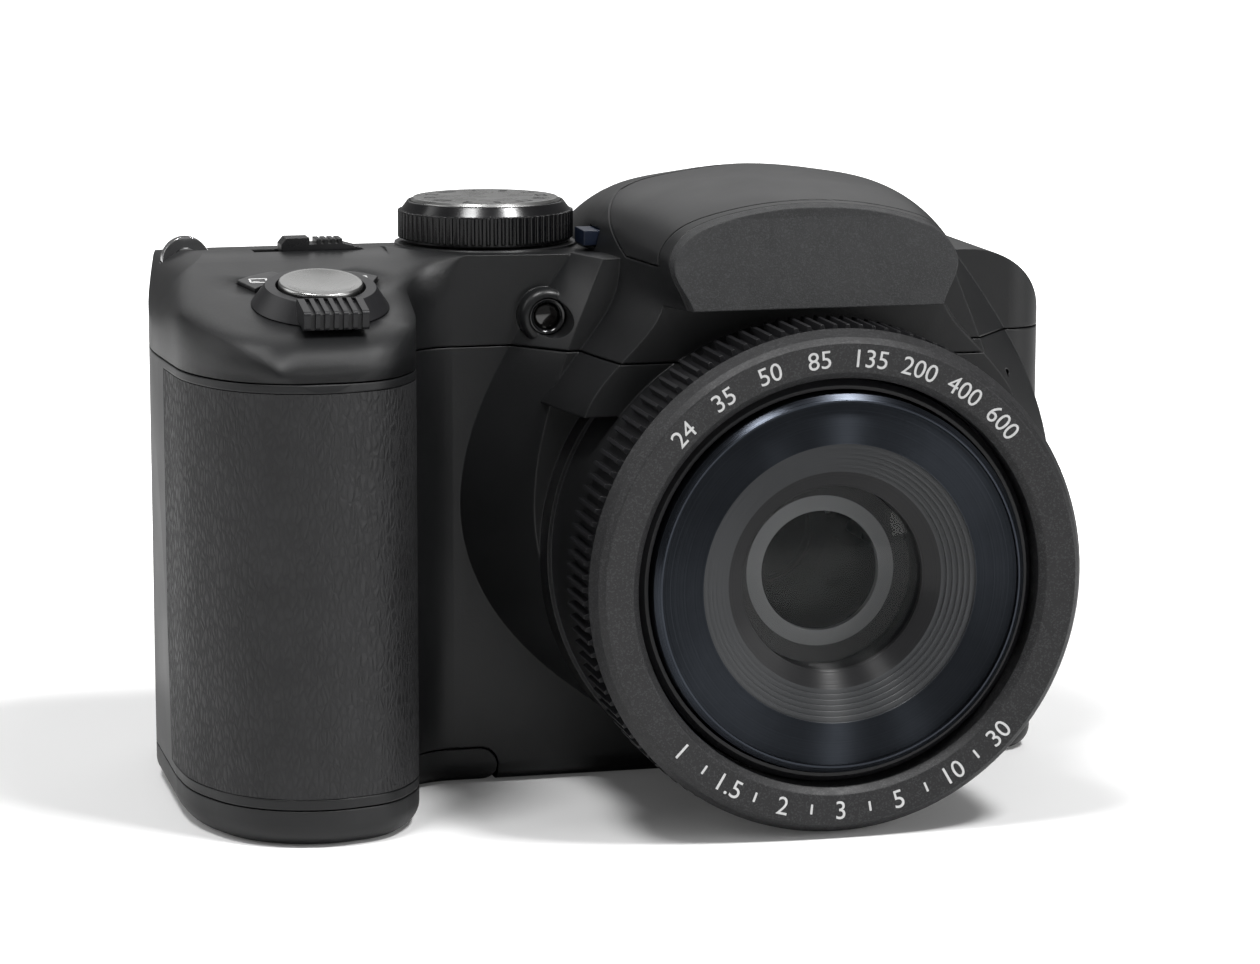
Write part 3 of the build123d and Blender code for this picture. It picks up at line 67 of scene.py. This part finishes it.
# The front ring's face: a shallow cone between two radii, which falls inwards
CONE_OUTER = 29.4 * MM
CONE_INNER = 25.9 * MM
CONE_FALL = 0.4 * MM

# The lens's front plate and baffle: radii where their finish changes
STEPS_OUTER = 17.1 * MM
STEPS_INNER = 13.4 * MM
BAFFLE_LAND = 9.35 * MM

# Markings
INK_THICKNESS = 0.04 * MM
INK_LIFT = 0.005 * MM
CAPITAL_SHARE = 0.72         # of the font's size
ZOOM_FIGURES = ("24", "35", "50", "85", "135", "200", "400", "600")
DISTANCE_FIGURES = ("1", "1.5", "2", "3", "5", "10", "30")
SCALE_RADIUS = 27.65 * MM
SCALE_HEIGHT = 2.25 * MM
SCALE_REACH = 46             # degrees to each side of the top or the bottom
TICK_WIDTH = 0.28 * MM
TICK_HEIGHT = 1.2 * MM
DIAL_SIGNS = ("1", None, "2", "3", None, "4", "5", None, "6", None, "7", "8")
DIAL_SIGN_RADIUS = 7.3 * MM
DIAL_SIGN_HEIGHT = 1.7 * MM
DIAL_FRAME = (2.0 * MM, 1.3 * MM, 0.22 * MM)    # width, height, line
KEY_FRAME = (2.3 * MM, 1.7 * MM, 0.26 * MM)
KEY_BAR_LENGTH = 0.9 * MM
KEY_BAR_WIDTH = 0.2 * MM
BURST_BARS_X = (-1.5 * MM, -1.95 * MM)
EXPOSURE_BAR_PLACE = (-0.35 * MM, -0.3 * MM, 0)
BAR_CORNER_SHARE = 0.3
BAR_CORNER_STEPS = 3

# Focus lamp: radius and distance in front of its window's face
LAMP_RING = [(2.34 * MM, -0.9 * MM), (2.34 * MM, 0.35 * MM), (2.2 * MM, 0.5 * MM),
             (1.75 * MM, 0.1 * MM), (1.6 * MM, -0.9 * MM)]
LAMP_RADIUS = 1.62 * MM
LAMP_DEPTH = 0.95 * MM
LAMP_DOME = 0.45 * MM
LAMP_SETBACK = 0.05 * MM
LAMP_DOME_STEPS = 4

# Where the moulded faces of the top cover run into each other: centre and reach
MELTS = ((Vector((-0.0745, -0.036, 0.0610)), 0.0135),
         (Vector((-0.0560, -0.0420, 0.0590)), 0.0120),
         (Vector((-0.0455, -0.0300, 0.0620)), 0.0105),
         (Vector((-0.0470, -0.0180, 0.0650)), 0.0090),
         (Vector((-0.0740, -0.0200, 0.0620)), 0.0110))
MELT_RADIUS = 5.5 * MM
MELT_CORE_SHARE = 0.6        # of a place's reach, where the melting is full

# Studio
FLOOR_HALF = 3.0
FLOOR_CELLS = 24
FLOOR_BOUNCE = 0.75
FLOOR_SHOWN = 0.95
FLOOR_GLOW = (("From Min", 0.09), ("From Max", 0.18), ("To Min", 0.04), ("To Max", 1.0))
ROOM_LIGHT = 0.15
SOFTBOX_AIM = Vector((-0.02, -0.02, 0.04))
SOFTBOXES = (                # name, place, width, radiance
    ("key_high", (-0.34, -0.26, 1.14), 0.26, 32.0),
    ("side_left", (-1.05, 0.16, 0.60), 0.8, 1.8),
    ("streak", (0.36, -0.40, 1.08), 0.20, 74.0),
    ("top_rear", (0.15, 0.95, 0.85), 1.1, 0.8),
    ("fill_right", (1.05, -0.90, 0.40), 0.7, 3.6))

# The photograph's viewpoint
VIEW_PLACE = (-0.142713, -0.524268, 0.130037)
VIEW_RIGHT = Vector((0.97066, -0.24045, 0.00147))
VIEW_UP = Vector((0.04025, 0.16847, 0.98489))
VIEW_LENS = 118.85
VIEW_SENSOR = 36.0
VIEW_CLIP_START = 0.01
VIEW_CLIP_END = 20.0


# Finishes

NOISE_LOW, NOISE_HIGH = 0.3, 0.7     # what a noise texture mostly spans


class Graph:
    """Adds nodes to one node tree, with their inputs set or linked."""

    def __init__(self, tree):
        self.nodes = tree.nodes
        self.links = tree.links

    def add(self, kind, inputs=None, **settings):
        node = self.nodes.new(kind)
        for key, value in settings.items():
            setattr(node, key, value)
        for key, value in (inputs or {}).items():
            if isinstance(value, bpy.types.NodeSocket):
                self.links.new(value, node.inputs[key])
            else:
                node.inputs[key].default_value = value
        return node

    def mixed(self, share, first, second):
        """A colour between two others."""
        return self.add("ShaderNodeMix", {"Factor": share, "A": first, "B": second},
                        data_type="RGBA").outputs["Result"]


class Finish(Graph):
    """A node material: one principled shader, with the nodes that vary it over the surface."""

    def __init__(self, name, colour, roughness, metallic=0.0, specular=0.5, coat=0.0,
                 soft_edge=0.0, melt=False):
        self.material = bpy.data.materials.new(name)
        self.material.use_nodes = True
        super().__init__(self.material.node_tree)
        self.shader = self.nodes["Principled BSDF"]
        self.colour = colour
        self.roughness = roughness
        self.set("Base Color", (*colour, 1.0))
        self.set("Roughness", roughness)
        self.set("Metallic", metallic)
        self.set("Specular IOR Level", specular)
        self.set("Coat Weight", coat)
        self.set("Coat Roughness", 0.1)
        self.place = self.add("ShaderNodeTexCoord").outputs["Object"]
        self.normal = None
        if soft_edge:
            reach = self.melted(soft_edge) if melt else soft_edge
            self.normal = self.add("ShaderNodeBevel", {"Radius": reach}, samples=8).outputs[0]
            self.drive("Normal", self.normal)

    def set(self, name, value):
        self.shader.inputs[name].default_value = value

    def drive(self, name, socket):
        self.links.new(socket, self.shader.inputs[name])

    def melted(self, edge):
        """A bevel radius that grows near MELTS, where moulded faces run into each other."""
        near = None
        for centre, reach in MELTS:
            apart = self.add("ShaderNodeVectorMath", {0: self.place, 1: centre},
                             operation="DISTANCE").outputs["Value"]
            value = self.add("ShaderNodeMapRange", {
                "Value": apart, "From Min": reach, "From Max": reach * MELT_CORE_SHARE,
                "To Min": edge, "To Max": MELT_RADIUS}, interpolation_type="SMOOTHSTEP").outputs[0]
            near = value if near is None else self.add(
                "ShaderNodeMath", {0: near, 1: value}, operation="MAXIMUM").outputs[0]
        return near

    def lens_radius(self):
        """How far a point of the surface lies from the lens axis."""
        split = self.add("ShaderNodeSeparateXYZ", {"Vector": self.place}).outputs
        across = self.add("ShaderNodeMath", {0: split["X"], 1: LENS_X}, operation="SUBTRACT")
        up = self.add("ShaderNodeMath", {0: split["Z"], 1: LENS_Z}, operation="SUBTRACT")
        flat = self.add("ShaderNodeCombineXYZ", {"X": across.outputs[0], "Y": up.outputs[0]})
        return self.add("ShaderNodeVectorMath", {0: flat.outputs[0]},
                        operation="LENGTH").outputs["Value"]

    def scaled(self, stretch):
        return self.add("ShaderNodeMapping", {"Vector": self.place, "Scale": stretch}).outputs[0]

    def noise(self, size, detail=2.0):
        return self.add("ShaderNodeTexNoise", {"Vector": self.place, "Scale": 1 / size,
                                               "Detail": detail}).outputs["Fac"]

    def spread(self, value, low, high, start=NOISE_LOW, end=NOISE_HIGH):
        return self.add("ShaderNodeMapRange", {"Value": value, "From Min": start, "From Max": end,
                                               "To Min": low, "To Max": high}).outputs[0]

    def tone(self, strength):
        return (*(min(c * strength, 1.0) for c in self.colour), 1.0)

    def colour_by(self, share, first, second):
        self.tint = self.mixed(share, first, second)
        self.drive("Base Color", self.tint)

    def mottle(self, size, share):
        """Lets the colour drift lighter and darker over patches of one size."""
        patches = self.spread(self.noise(size, detail=3.0), 0.0, 1.0)
        self.colour_by(patches, self.tone(1 - share), self.tone(1 + share))
        return self

    def rub(self, size, share):
        """Lets the roughness drift, as handling does."""
        self.drive("Roughness", self.spread(self.noise(size, detail=3.0),
                                            self.roughness * (1 - share),
                                            min(self.roughness * (1 + share), 1.0)))
        return self

    def band(self, radius, edge, colour, blur=0.05 * MM):
        """Paints what lies inside one radius round the lens axis."""
        share = self.spread(radius, 1.0, 0.0, edge - blur, edge + blur)
        self.colour_by(share, self.tint, (*colour, 1.0))
        return share

    def raise_by(self, height, depth):
        inputs = {"Height": height, "Distance": depth, "Strength": 1.0}
        if self.normal:
            inputs["Normal"] = self.normal
        self.normal = self.add("ShaderNodeBump", inputs).outputs[0]
        self.drive("Normal", self.normal)

    def grain(self, size, depth):
        self.raise_by(self.noise(size), depth)

    def flecks(self, size, share, colour, depth):
        """Scatters small bright flecks over the surface."""
        cells = self.add("ShaderNodeTexVoronoi", {"Vector": self.place, "Scale": 1 / size})
        lot = self.add("ShaderNodeSeparateColor", {"Color": cells.outputs["Color"]}).outputs[0]
        chosen = self.spread(lot, 0.0, 1.0, 1 - share, 1 - share * 0.6)
        self.colour_by(chosen, self.tint, (*colour, 1.0))
        self.raise_by(lot, depth)


def moulded_black(name, colour, roughness, grain=0.28, depth=0.012, soft_edge=0.3, melt=False):
    """Spark-eroded moulded plastic."""
    finish = Finish(name, colour, roughness, specular=0.4, soft_edge=soft_edge * MM, melt=melt)
    finish.mottle(9 * MM, 0.10).rub(14 * MM, 0.10)
    finish.grain(grain * MM, depth * MM)
    return finish.material


def smooth_black(name, colour, roughness, coat=0.0):
    finish = Finish(name, colour, roughness, coat=coat, soft_edge=0.25 * MM)
    finish.mottle(6 * MM, 0.08).rub(5 * MM, 0.18)
    finish.grain(0.8 * MM, 0.004 * MM)
    return finish.material


def grip_leather():
    """Moulded rubber with a creased leather grain."""
    finish = Finish("grip_rubber_grain", (0.0165, 0.0165, 0.0175), 0.5, specular=0.45)
    finish.mottle(5 * MM, 0.16)
    place = finish.scaled((1.0, 1.0, 0.42))
    wobble = finish.add("ShaderNodeTexNoise", {"Vector": place, "Scale": 1 / (0.9 * MM),
                                               "Detail": 3.0}).outputs["Color"]
    shift = finish.add("ShaderNodeVectorMath", {0: wobble, 1: (0.9 * MM,) * 3},
                       operation="MULTIPLY").outputs[0]
    bent = finish.add("ShaderNodeVectorMath", {0: place, 1: shift}, operation="ADD").outputs[0]
    cells = finish.add("ShaderNodeTexVoronoi", {"Vector": bent, "Scale": 1 / (0.72 * MM)},
                       feature="DISTANCE_TO_EDGE")
    crease = finish.spread(cells.outputs["Distance"], 0.0, 1.0, 0.0, 0.3)
    finish.raise_by(crease, 0.07 * MM)
    finish.grain(0.2 * MM, 0.012 * MM)
    finish.drive("Roughness", finish.spread(crease, 0.66, 0.42, 0.0, 1.0))
    return finish.material


def speckled_black(name, colour, fleck, size, share):
    finish = Finish(name, colour, 0.5, soft_edge=0.25 * MM)
    finish.mottle(4 * MM, 0.12).rub(1.2 * MM, 0.12)
    finish.flecks(size * MM, share, fleck, 0.05 * MM)
    finish.grain(size * MM, 0.02 * MM)
    return finish.material


def turned_metal(name, colour, roughness, pitch, depth, anisotropic=0.7):
    """Metal turned on a lathe, with fine rings round the lens axis."""
    finish = Finish(name, colour, roughness, metallic=1.0)
    finish.mottle(7 * MM, 0.10)
    rings = finish.add("ShaderNodeTexNoise", {"W": finish.lens_radius(), "Scale": 1 / (pitch * MM),
                                              "Detail": 3.0}, noise_dimensions="1D").outputs["Fac"]
    finish.raise_by(rings, depth * MM)
    finish.drive("Roughness", finish.spread(rings, roughness * 0.8, roughness * 1.25))
    finish.set("Anisotropic", anisotropic)
    finish.set("Anisotropic Rotation", 0.25)
    finish.drive("Tangent", finish.add("ShaderNodeTangent", direction_type="RADIAL",
                                       axis="Y").outputs[0])
    return finish


def front_plate_finish():
    """Turned dark metal with a greyer stepped band inside it and a black throat."""
    finish = turned_metal("front_plate_turned", (0.032, 0.036, 0.043), 0.48, 0.16, 0.003,
                          anisotropic=1.0)
    radius = finish.lens_radius()
    steps = finish.band(radius, STEPS_OUTER, (0.050, 0.052, 0.055))
    finish.drive("Metallic", finish.spread(steps, 1.0, 0.0, 0.0, 1.0))
    finish.band(radius, STEPS_INNER, (0.012, 0.012, 0.013))
    return finish.material


def baffle_finish():
    """A grey land round the hole, black outside it."""
    finish = Finish("baffle_matt", (0.012, 0.012, 0.013), 0.6)
    finish.mottle(4 * MM, 0.08)
    finish.band(finish.lens_radius(), BAFFLE_LAND, (0.26, 0.265, 0.27))
    return finish.material


def metal(name, colour, roughness, grain=0.3):
    finish = Finish(name, colour, roughness, metallic=1.0, soft_edge=0.15 * MM)
    finish.mottle(2.5 * MM, 0.03).rub(3 * MM, 0.12)
    if grain:
        finish.grain(grain * MM, 0.0006 * MM)
    return finish.material


def frosted_glass(name, colour):
    finish = Finish(name, colour, 0.12)
    finish.set("Transmission Weight", 1.0)
    finish.set("IOR", 1.5)
    finish.mottle(8 * MM, 0.03)
    return finish.material


def coated_glass(name, colour, share):
    """Thin coated glass: it lets light straight through and mirrors a little of it."""
    finish = Finish(name, colour, 0.03, specular=0.8)
    finish.set("Alpha", share)
    finish.mottle(8 * MM, 0.1)
    return finish.material


def paint(name, colour):
    finish = Finish(name, colour, 0.55)
    finish.mottle(0.6 * MM, 0.08).rub(0.5 * MM, 0.1)
    return finish.material


def finish_nodes():
    """Gives every node of the frame its finish."""
    moulding = (0.0105, 0.0108, 0.0115)
    table = {
        moulded_black("shell_black_grain", moulding, 0.38):
            ["front_cover", "rear_cover", "port_door"],
        moulded_black("top_black_grain", moulding, 0.38, melt=True): ["top_cover"],
        moulded_black("door_black_grain", (0.0140, 0.0143, 0.0150), 0.45):
            ["battery_door", "battery_door_latch"],
        moulded_black("lid_satin_black", (0.0155, 0.0158, 0.0166), 0.40, grain=0.2, depth=0.006):
            ["flash_lid"],
        grip_leather(): ["grip_skin", "thumb_pad"],
        speckled_black("brow_speckle", (0.022, 0.0225, 0.0235), (0.036, 0.037, 0.039), 0.14, 0.3):
            ["brow_plate"],
        speckled_black("bezel_speckle", (0.0105, 0.0105, 0.0115), (0.030, 0.030, 0.032),
                       0.16, 0.25): ["front_bezel_ring"],
        moulded_black("ring_satin", (0.013, 0.013, 0.0145), 0.40, grain=0.3, depth=0.008,
                      soft_edge=0.12):
            ["knurled_ring", "lens_fixed_barrel", "cam_ring", "outer_zoom_barrel", "zoom_lever"],
        smooth_black("dial_gloss", (0.0045, 0.0045, 0.0052), 0.2): ["mode_dial"],
        smooth_black("trim_half_gloss", (0.010, 0.010, 0.011), 0.28):
            ["power_slider", "control_pad", "ok_button", "side_sockets"],
        smooth_black("key_black", (0.012, 0.012, 0.013), 0.35):
            ["menu_button", "display_button", "play_button", "exposure_button", "burst_button"],
        smooth_black("record_red", (0.16, 0.012, 0.012), 0.3): ["record_button"],
        turned_metal("barrel_blue_satin", (0.048, 0.054, 0.066), 0.30, 0.30, 0.004).material:
            ["inner_zoom_barrel"],
        front_plate_finish(): ["lens_front_plate"],
        baffle_finish(): ["baffle_ring"],
        moulded_black("lens_inner_black", (0.006, 0.006, 0.007), 0.7):
            ["lens_rear_plate", "focus_carrier"],
        coated_glass("lens_coated", (0.004, 0.007, 0.007), 0.14):
            ["front_lens_group", "focus_lens"],
        frosted_glass("window_clear", (0.90, 0.92, 0.92)): ["flash_window", "flash_tube"],
        smooth_black("lamp_backing", (0.012, 0.010, 0.009), 0.08, coat=1.0):
            ["focus_lamp_window"],
        metal("brushed_silver", (0.38, 0.38, 0.375), 0.28, grain=0):
            ["shutter_button", "mode_dial_plate"],
        metal("polished_chrome", (0.80, 0.80, 0.81), 0.09): ["strap_lugs"],
        metal("machined_steel", (0.55, 0.55, 0.56), 0.3):
            ["tripod_bush", "case_screws", "hinge_pins", "focus_guide_rods", "zoom_motor"],
        metal("contact_brass_satin", (0.72, 0.58, 0.33), 0.3):
            ["battery_contacts", "door_contacts"],
        smooth_black("cell_sleeve", (0.10, 0.13, 0.17), 0.35, coat=0.3): ["battery_cells"],
        smooth_black("board_lacquer", (0.012, 0.075, 0.03), 0.3, coat=0.4):
            ["main_board", "rear_key_board", "top_switch_board"],
        smooth_black("sensor_glassy", (0.02, 0.025, 0.045), 0.08, coat=1.0): ["image_sensor"],
        smooth_black("reflector_white", (0.75, 0.75, 0.73), 0.2): ["flash_head"],
        smooth_black("flash_button_blue", (0.010, 0.016, 0.034), 0.3): ["flash_button"],
        smooth_black("screen_gloss", (0.0045, 0.0045, 0.0055), 0.05, coat=1.0):
            ["screen_window"],
        moulded_black("inner_grey", (0.08, 0.085, 0.09), 0.6):
            ["screen_panel", "battery_box", "card_slot", "flash_capacitor"],
        smooth_black("card_body_blue", (0.02, 0.04, 0.10), 0.4): ["memory_card"],
    }
    left = set(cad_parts)
    for material, names in table.items():
        for name in names:
            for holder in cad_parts[name].material_slots:
                holder.link = "OBJECT"
                holder.material = material
            left.discard(name)
    assert not left, sorted(left)


# Meshes and markings

def link_piece(name, mesh, material, body):
    """Puts a finished mesh in the scene as a piece that rides on a body."""
    mesh.materials.clear()
    mesh.materials.append(material)
    piece = bpy.data.objects.new(name, mesh)
    bpy.context.scene.collection.objects.link(piece)
    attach(piece, body)
    return piece


def mesh_of(work, name):
    """Turns a finished bmesh into a mesh."""
    made = bpy.data.meshes.new(name)
    work.to_mesh(made)
    work.free()
    return made


def letters(text, height):
    """A flat solid mesh of a line of figures, centred on the origin, in its X-Y plane."""
    curve = bpy.data.curves.new("figures", "FONT")
    curve.body = text
    curve.size = height / CAPITAL_SHARE
    curve.extrude = INK_THICKNESS / 2
    curve.align_x = "CENTER"
    curve.resolution_u = 4
    holder = bpy.data.objects.new("figures", curve)
    bpy.context.scene.collection.objects.link(holder)
    bpy.context.view_layer.update()
    graph = bpy.context.evaluated_depsgraph_get()
    mesh = bpy.data.meshes.new_from_object(holder.evaluated_get(graph))
    bpy.data.objects.remove(holder)
    bpy.data.curves.remove(curve)
    for vertex in mesh.vertices:
        vertex.co.y -= height / 2
    return mesh


def joined(meshes, name):
    """One mesh of several."""
    work = bmesh.new()
    for mesh in meshes:
        work.from_mesh(mesh)
        bpy.data.meshes.remove(mesh)
    return mesh_of(work, name)


def moved(mesh, matrix):
    mesh.transform(matrix)
    return mesh


def bar(width, height):
    """A thin rounded bar, centred, in its X-Y plane."""
    corner = min(width, height) * BAR_CORNER_SHARE
    points = []
    for quarter, (side_x, side_y) in enumerate(((1, 1), (-1, 1), (-1, -1), (1, -1))):
        for step in range(BAR_CORNER_STEPS + 1):
            angle = (quarter + step / BAR_CORNER_STEPS) * pi / 2
            points.append((side_x * (width / 2 - corner) + corner * cos(angle),
                           side_y * (height / 2 - corner) + corner * sin(angle)))
    work = bmesh.new()
    front, back = ([work.verts.new((x, y, side * INK_THICKNESS / 2)) for x, y in points]
                   for side in (1, -1))
    work.faces.new(front)
    work.faces.new(list(reversed(back)))
    for i in range(len(points)):
        j = (i + 1) % len(points)
        work.faces.new((front[i], back[i], back[j], front[j]))
    return mesh_of(work, "bar")


def frame_plate(width, height, line):
    """A thin rectangular frame in its X-Y plane."""
    sides = [moved(bar(width, line), Matrix.Translation((0, side * (height - line) / 2, 0)))
             for side in (1, -1)]
    sides += [moved(bar(line, height), Matrix.Translation((side * (width - line) / 2, 0, 0)))
              for side in (1, -1)]
    return joined(sides, "frame")


def bezel_face(radius):
    """How far back the bezel's front surface lies at one radius."""
    return BEZEL_FRONT + CONE_FALL * (CONE_OUTER - radius) / (CONE_OUTER - CONE_INNER)


def bent_on_bezel(mesh, angle, inward):
    """Bends a flat mesh round the lens axis, onto the bezel, with its tops out or in."""
    side = -1 if inward else 1
    for vertex in mesh.vertices:
        u, v, w = vertex.co
        turn = angle + side * u / SCALE_RADIUS
        reach = SCALE_RADIUS + side * v
        vertex.co = (LENS_X + reach * sin(turn), bezel_face(reach) - INK_LIFT - w,
                     LENS_Z + reach * cos(turn))
    mesh.update()
    return mesh


def mark_bezel():
    """Plain figures and ticks of a zoom scale and a distance scale round the front ring."""
    meshes = []
    step = 2 * SCALE_REACH / (len(ZOOM_FIGURES) - 1)
    for i, text in enumerate(ZOOM_FIGURES):
        angle = radians(step * i - SCALE_REACH)
        meshes.append(bent_on_bezel(letters(text, SCALE_HEIGHT), angle, False))
    step = 2 * SCALE_REACH / (len(DISTANCE_FIGURES) - 1)
    for i, text in enumerate(DISTANCE_FIGURES):
        angle = radians(180 + SCALE_REACH - step * i)
        meshes.append(bent_on_bezel(letters(text, SCALE_HEIGHT), angle, True))
        if i:
            tick = bar(TICK_WIDTH, TICK_HEIGHT)
            meshes.append(bent_on_bezel(tick, angle + radians(step / 2), True))
    link_piece("bezel_figures", joined(meshes, "bezel_figures"),
               paint("figure_white", (0.62, 0.62, 0.62)), "camera_body")


def mark_dial():
    """Plain figures and frames round the dial's plate."""
    meshes = []
    for i, text in enumerate(DIAL_SIGNS):
        flat = letters(text, DIAL_SIGN_HEIGHT) if text else frame_plate(*DIAL_FRAME)
        turn = Matrix.Rotation(WHOLE_TURN * i / len(DIAL_SIGNS), 4, "Z")
        out = Matrix.Translation((0, DIAL_SIGN_RADIUS, 0))
        meshes.append(moved(flat, Matrix.Translation(DIAL) @ turn @ out))
    link_piece("dial_figures", joined(meshes, "dial_figures"),
               paint("dial_ink", (0.016, 0.016, 0.017)), "mode_dial")


def mark_keys():
    """Small white frames and bars on the two crescent keys."""
    white = paint("key_white", (0.66, 0.66, 0.66))
    deck = Matrix.Translation(SHUTTER) @ Matrix.Rotation(DECK_LEAN, 4, "X")
    for body in ("exposure_button", "burst_button"):
        low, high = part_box(body)
        side = 1 if (low.x + high.x) / 2 > SHUTTER.x else -1
        shapes = [frame_plate(*KEY_FRAME)]
        if side > 0:
            shapes += [moved(bar(KEY_BAR_WIDTH, KEY_BAR_LENGTH), Matrix.Translation((x, 0, 0)))
                       for x in BURST_BARS_X]
        else:
            shapes.append(moved(bar(KEY_BAR_LENGTH, KEY_BAR_WIDTH),
                                Matrix.Translation(EXPOSURE_BAR_PLACE)))
        place = Matrix.Translation((side * SIGN_RADIUS * cos(SIGN_TURN),
                                    SIGN_RADIUS * sin(SIGN_TURN), CRESCENT_TOP))
        sign = moved(joined(shapes, body + "_sign"), deck @ place)
        link_piece(body + "_sign", sign, white, body)


def turned_mesh(outline, centre, steps=48):
    """A closed solid of revolution about an axis along Y, from (radius, front) points."""
    work = bmesh.new()
    rings = []
    for radius, front in outline:
        angles = [WHOLE_TURN * i / steps for i in range(steps if radius else 1)]
        rings.append([work.verts.new(centre + Vector((radius * cos(a), -front, radius * sin(a))))
                      for a in angles])
    pairs = list(zip(rings, rings[1:])) + ([(rings[-1], rings[0])] if len(rings[0]) > 1 else [])
    for first, second in pairs:
        for i in range(steps):
            j = (i + 1) % steps
            corners = dict.fromkeys((first[i % len(first)], first[j % len(first)],
                                     second[j % len(second)], second[i % len(second)]))
            if len(corners) > 2:
                work.faces.new(list(corners))
    bmesh.ops.recalc_face_normals(work, faces=work.faces)
    made = mesh_of(work, "turned")
    made.shade_smooth()
    return made


def make_lamp():
    """A bevelled ring with a small domed lens behind it, in the boss beside the lens."""
    angles = [pi / 2 * i / LAMP_DOME_STEPS for i in range(1, LAMP_DOME_STEPS + 1)]
    dome = [(0.0, -LAMP_SETBACK)] + [
        (LAMP_RADIUS * sin(a), -LAMP_SETBACK - LAMP_DOME * (1 - cos(a))) for a in angles]
    lens = turned_mesh(dome + [(LAMP_RADIUS, -LAMP_DEPTH), (0.0, -LAMP_DEPTH)], LAMP)
    link_piece("lamp_ring", turned_mesh(LAMP_RING, LAMP),
               smooth_black("lamp_ring_gloss", (0.010, 0.010, 0.011), 0.16, coat=0.5),
               "camera_body")
    piece = link_piece("lamp_lens", lens,
                       smooth_black("lamp_smoked", (0.010, 0.0085, 0.008), 0.06, coat=1.0),
                       "camera_body")
    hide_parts("focus_lamp_window")


# The room

def choice_for_view(graph, unseen, seen):
    """One shader for camera rays, another for the light that bounces."""
    camera_ray = graph.add("ShaderNodeLightPath").outputs["Is Camera Ray"]
    return graph.add("ShaderNodeMixShader", {0: camera_ray, 1: unseen.outputs[0],
                                             2: seen.outputs[0]}).outputs[0]


def grey(level):
    return (level, level, level, 1)


def make_floor():
    """A pale floor whose lit parts show as white and whose shadows show as grey."""
    work = bmesh.new()
    bmesh.ops.create_grid(work, x_segments=FLOOR_CELLS, y_segments=FLOOR_CELLS, size=FLOOR_HALF)
    mesh = mesh_of(work, "floor")
    floor = bpy.data.objects.new("floor", mesh)
    bpy.context.scene.collection.objects.link(floor)
    material = bpy.data.materials.new("floor_pale")
    material.use_nodes = True
    material.node_tree.nodes.clear()
    graph = Graph(material.node_tree)
    place = graph.add("ShaderNodeTexCoord").outputs["Object"]
    apart = graph.add("ShaderNodeVectorMath", {0: place}, operation="LENGTH").outputs["Value"]
    rise = graph.add("ShaderNodeMapRange", {"Value": apart, **dict(FLOOR_GLOW)},
                     interpolation_type="SMOOTHSTEP").outputs[0]
    lit = graph.add("ShaderNodeBsdfDiffuse", {"Color": grey(FLOOR_SHOWN)})
    glow = graph.add("ShaderNodeEmission", {"Strength": rise})
    shown = graph.add("ShaderNodeAddShader", {0: lit.outputs[0], 1: glow.outputs[0]})
    plain = graph.add("ShaderNodeBsdfDiffuse", {"Color": grey(FLOOR_BOUNCE)})
    graph.add("ShaderNodeOutputMaterial", {"Surface": choice_for_view(graph, plain, shown)})
    mesh.materials.append(material)


def make_world():
    """A white backdrop that lights the camera only softly."""
    world = bpy.data.worlds.new("studio")
    bpy.context.scene.world = world
    world.use_nodes = True
    world.node_tree.nodes.clear()
    graph = Graph(world.node_tree)
    room = graph.add("ShaderNodeBackground", {"Color": grey(1), "Strength": ROOM_LIGHT})
    white = graph.add("ShaderNodeBackground", {"Color": grey(1), "Strength": 1.0})
    graph.add("ShaderNodeOutputWorld", {"Surface": choice_for_view(graph, room, white)})


def make_lights():
    """Square area lamps, each of one radiance, turned towards the camera body."""
    for name, place, size, radiance in SOFTBOXES:
        lamp = bpy.data.lights.new(name, "AREA")
        lamp.shape = "SQUARE"
        lamp.size = size
        lamp.energy = radiance * size * size * pi
        holder = bpy.data.objects.new(name, lamp)
        bpy.context.scene.collection.objects.link(holder)
        holder.location = place
        holder.rotation_euler = (SOFTBOX_AIM - Vector(place)).to_track_quat("-Z", "Y").to_euler()


def make_camera():
    """The photograph's own viewpoint and lens."""
    lens = bpy.data.cameras.new("view")
    lens.sensor_width = VIEW_SENSOR
    lens.sensor_fit = "HORIZONTAL"
    lens.lens = VIEW_LENS
    lens.clip_start = VIEW_CLIP_START
    lens.clip_end = VIEW_CLIP_END
    axes = Matrix((VIEW_RIGHT, VIEW_UP, VIEW_RIGHT.cross(VIEW_UP))).transposed()
    holder = bpy.data.objects.new("view", lens)
    bpy.context.scene.collection.objects.link(holder)
    holder.matrix_world = Matrix.Translation(VIEW_PLACE) @ axes.to_4x4()
    bpy.context.scene.camera = holder


finish_nodes()
mark_bezel()
mark_dial()
mark_keys()
make_lamp()
make_floor()
make_world()
make_lights()
make_camera()
bpy.context.scene.view_settings.view_transform = "Standard"
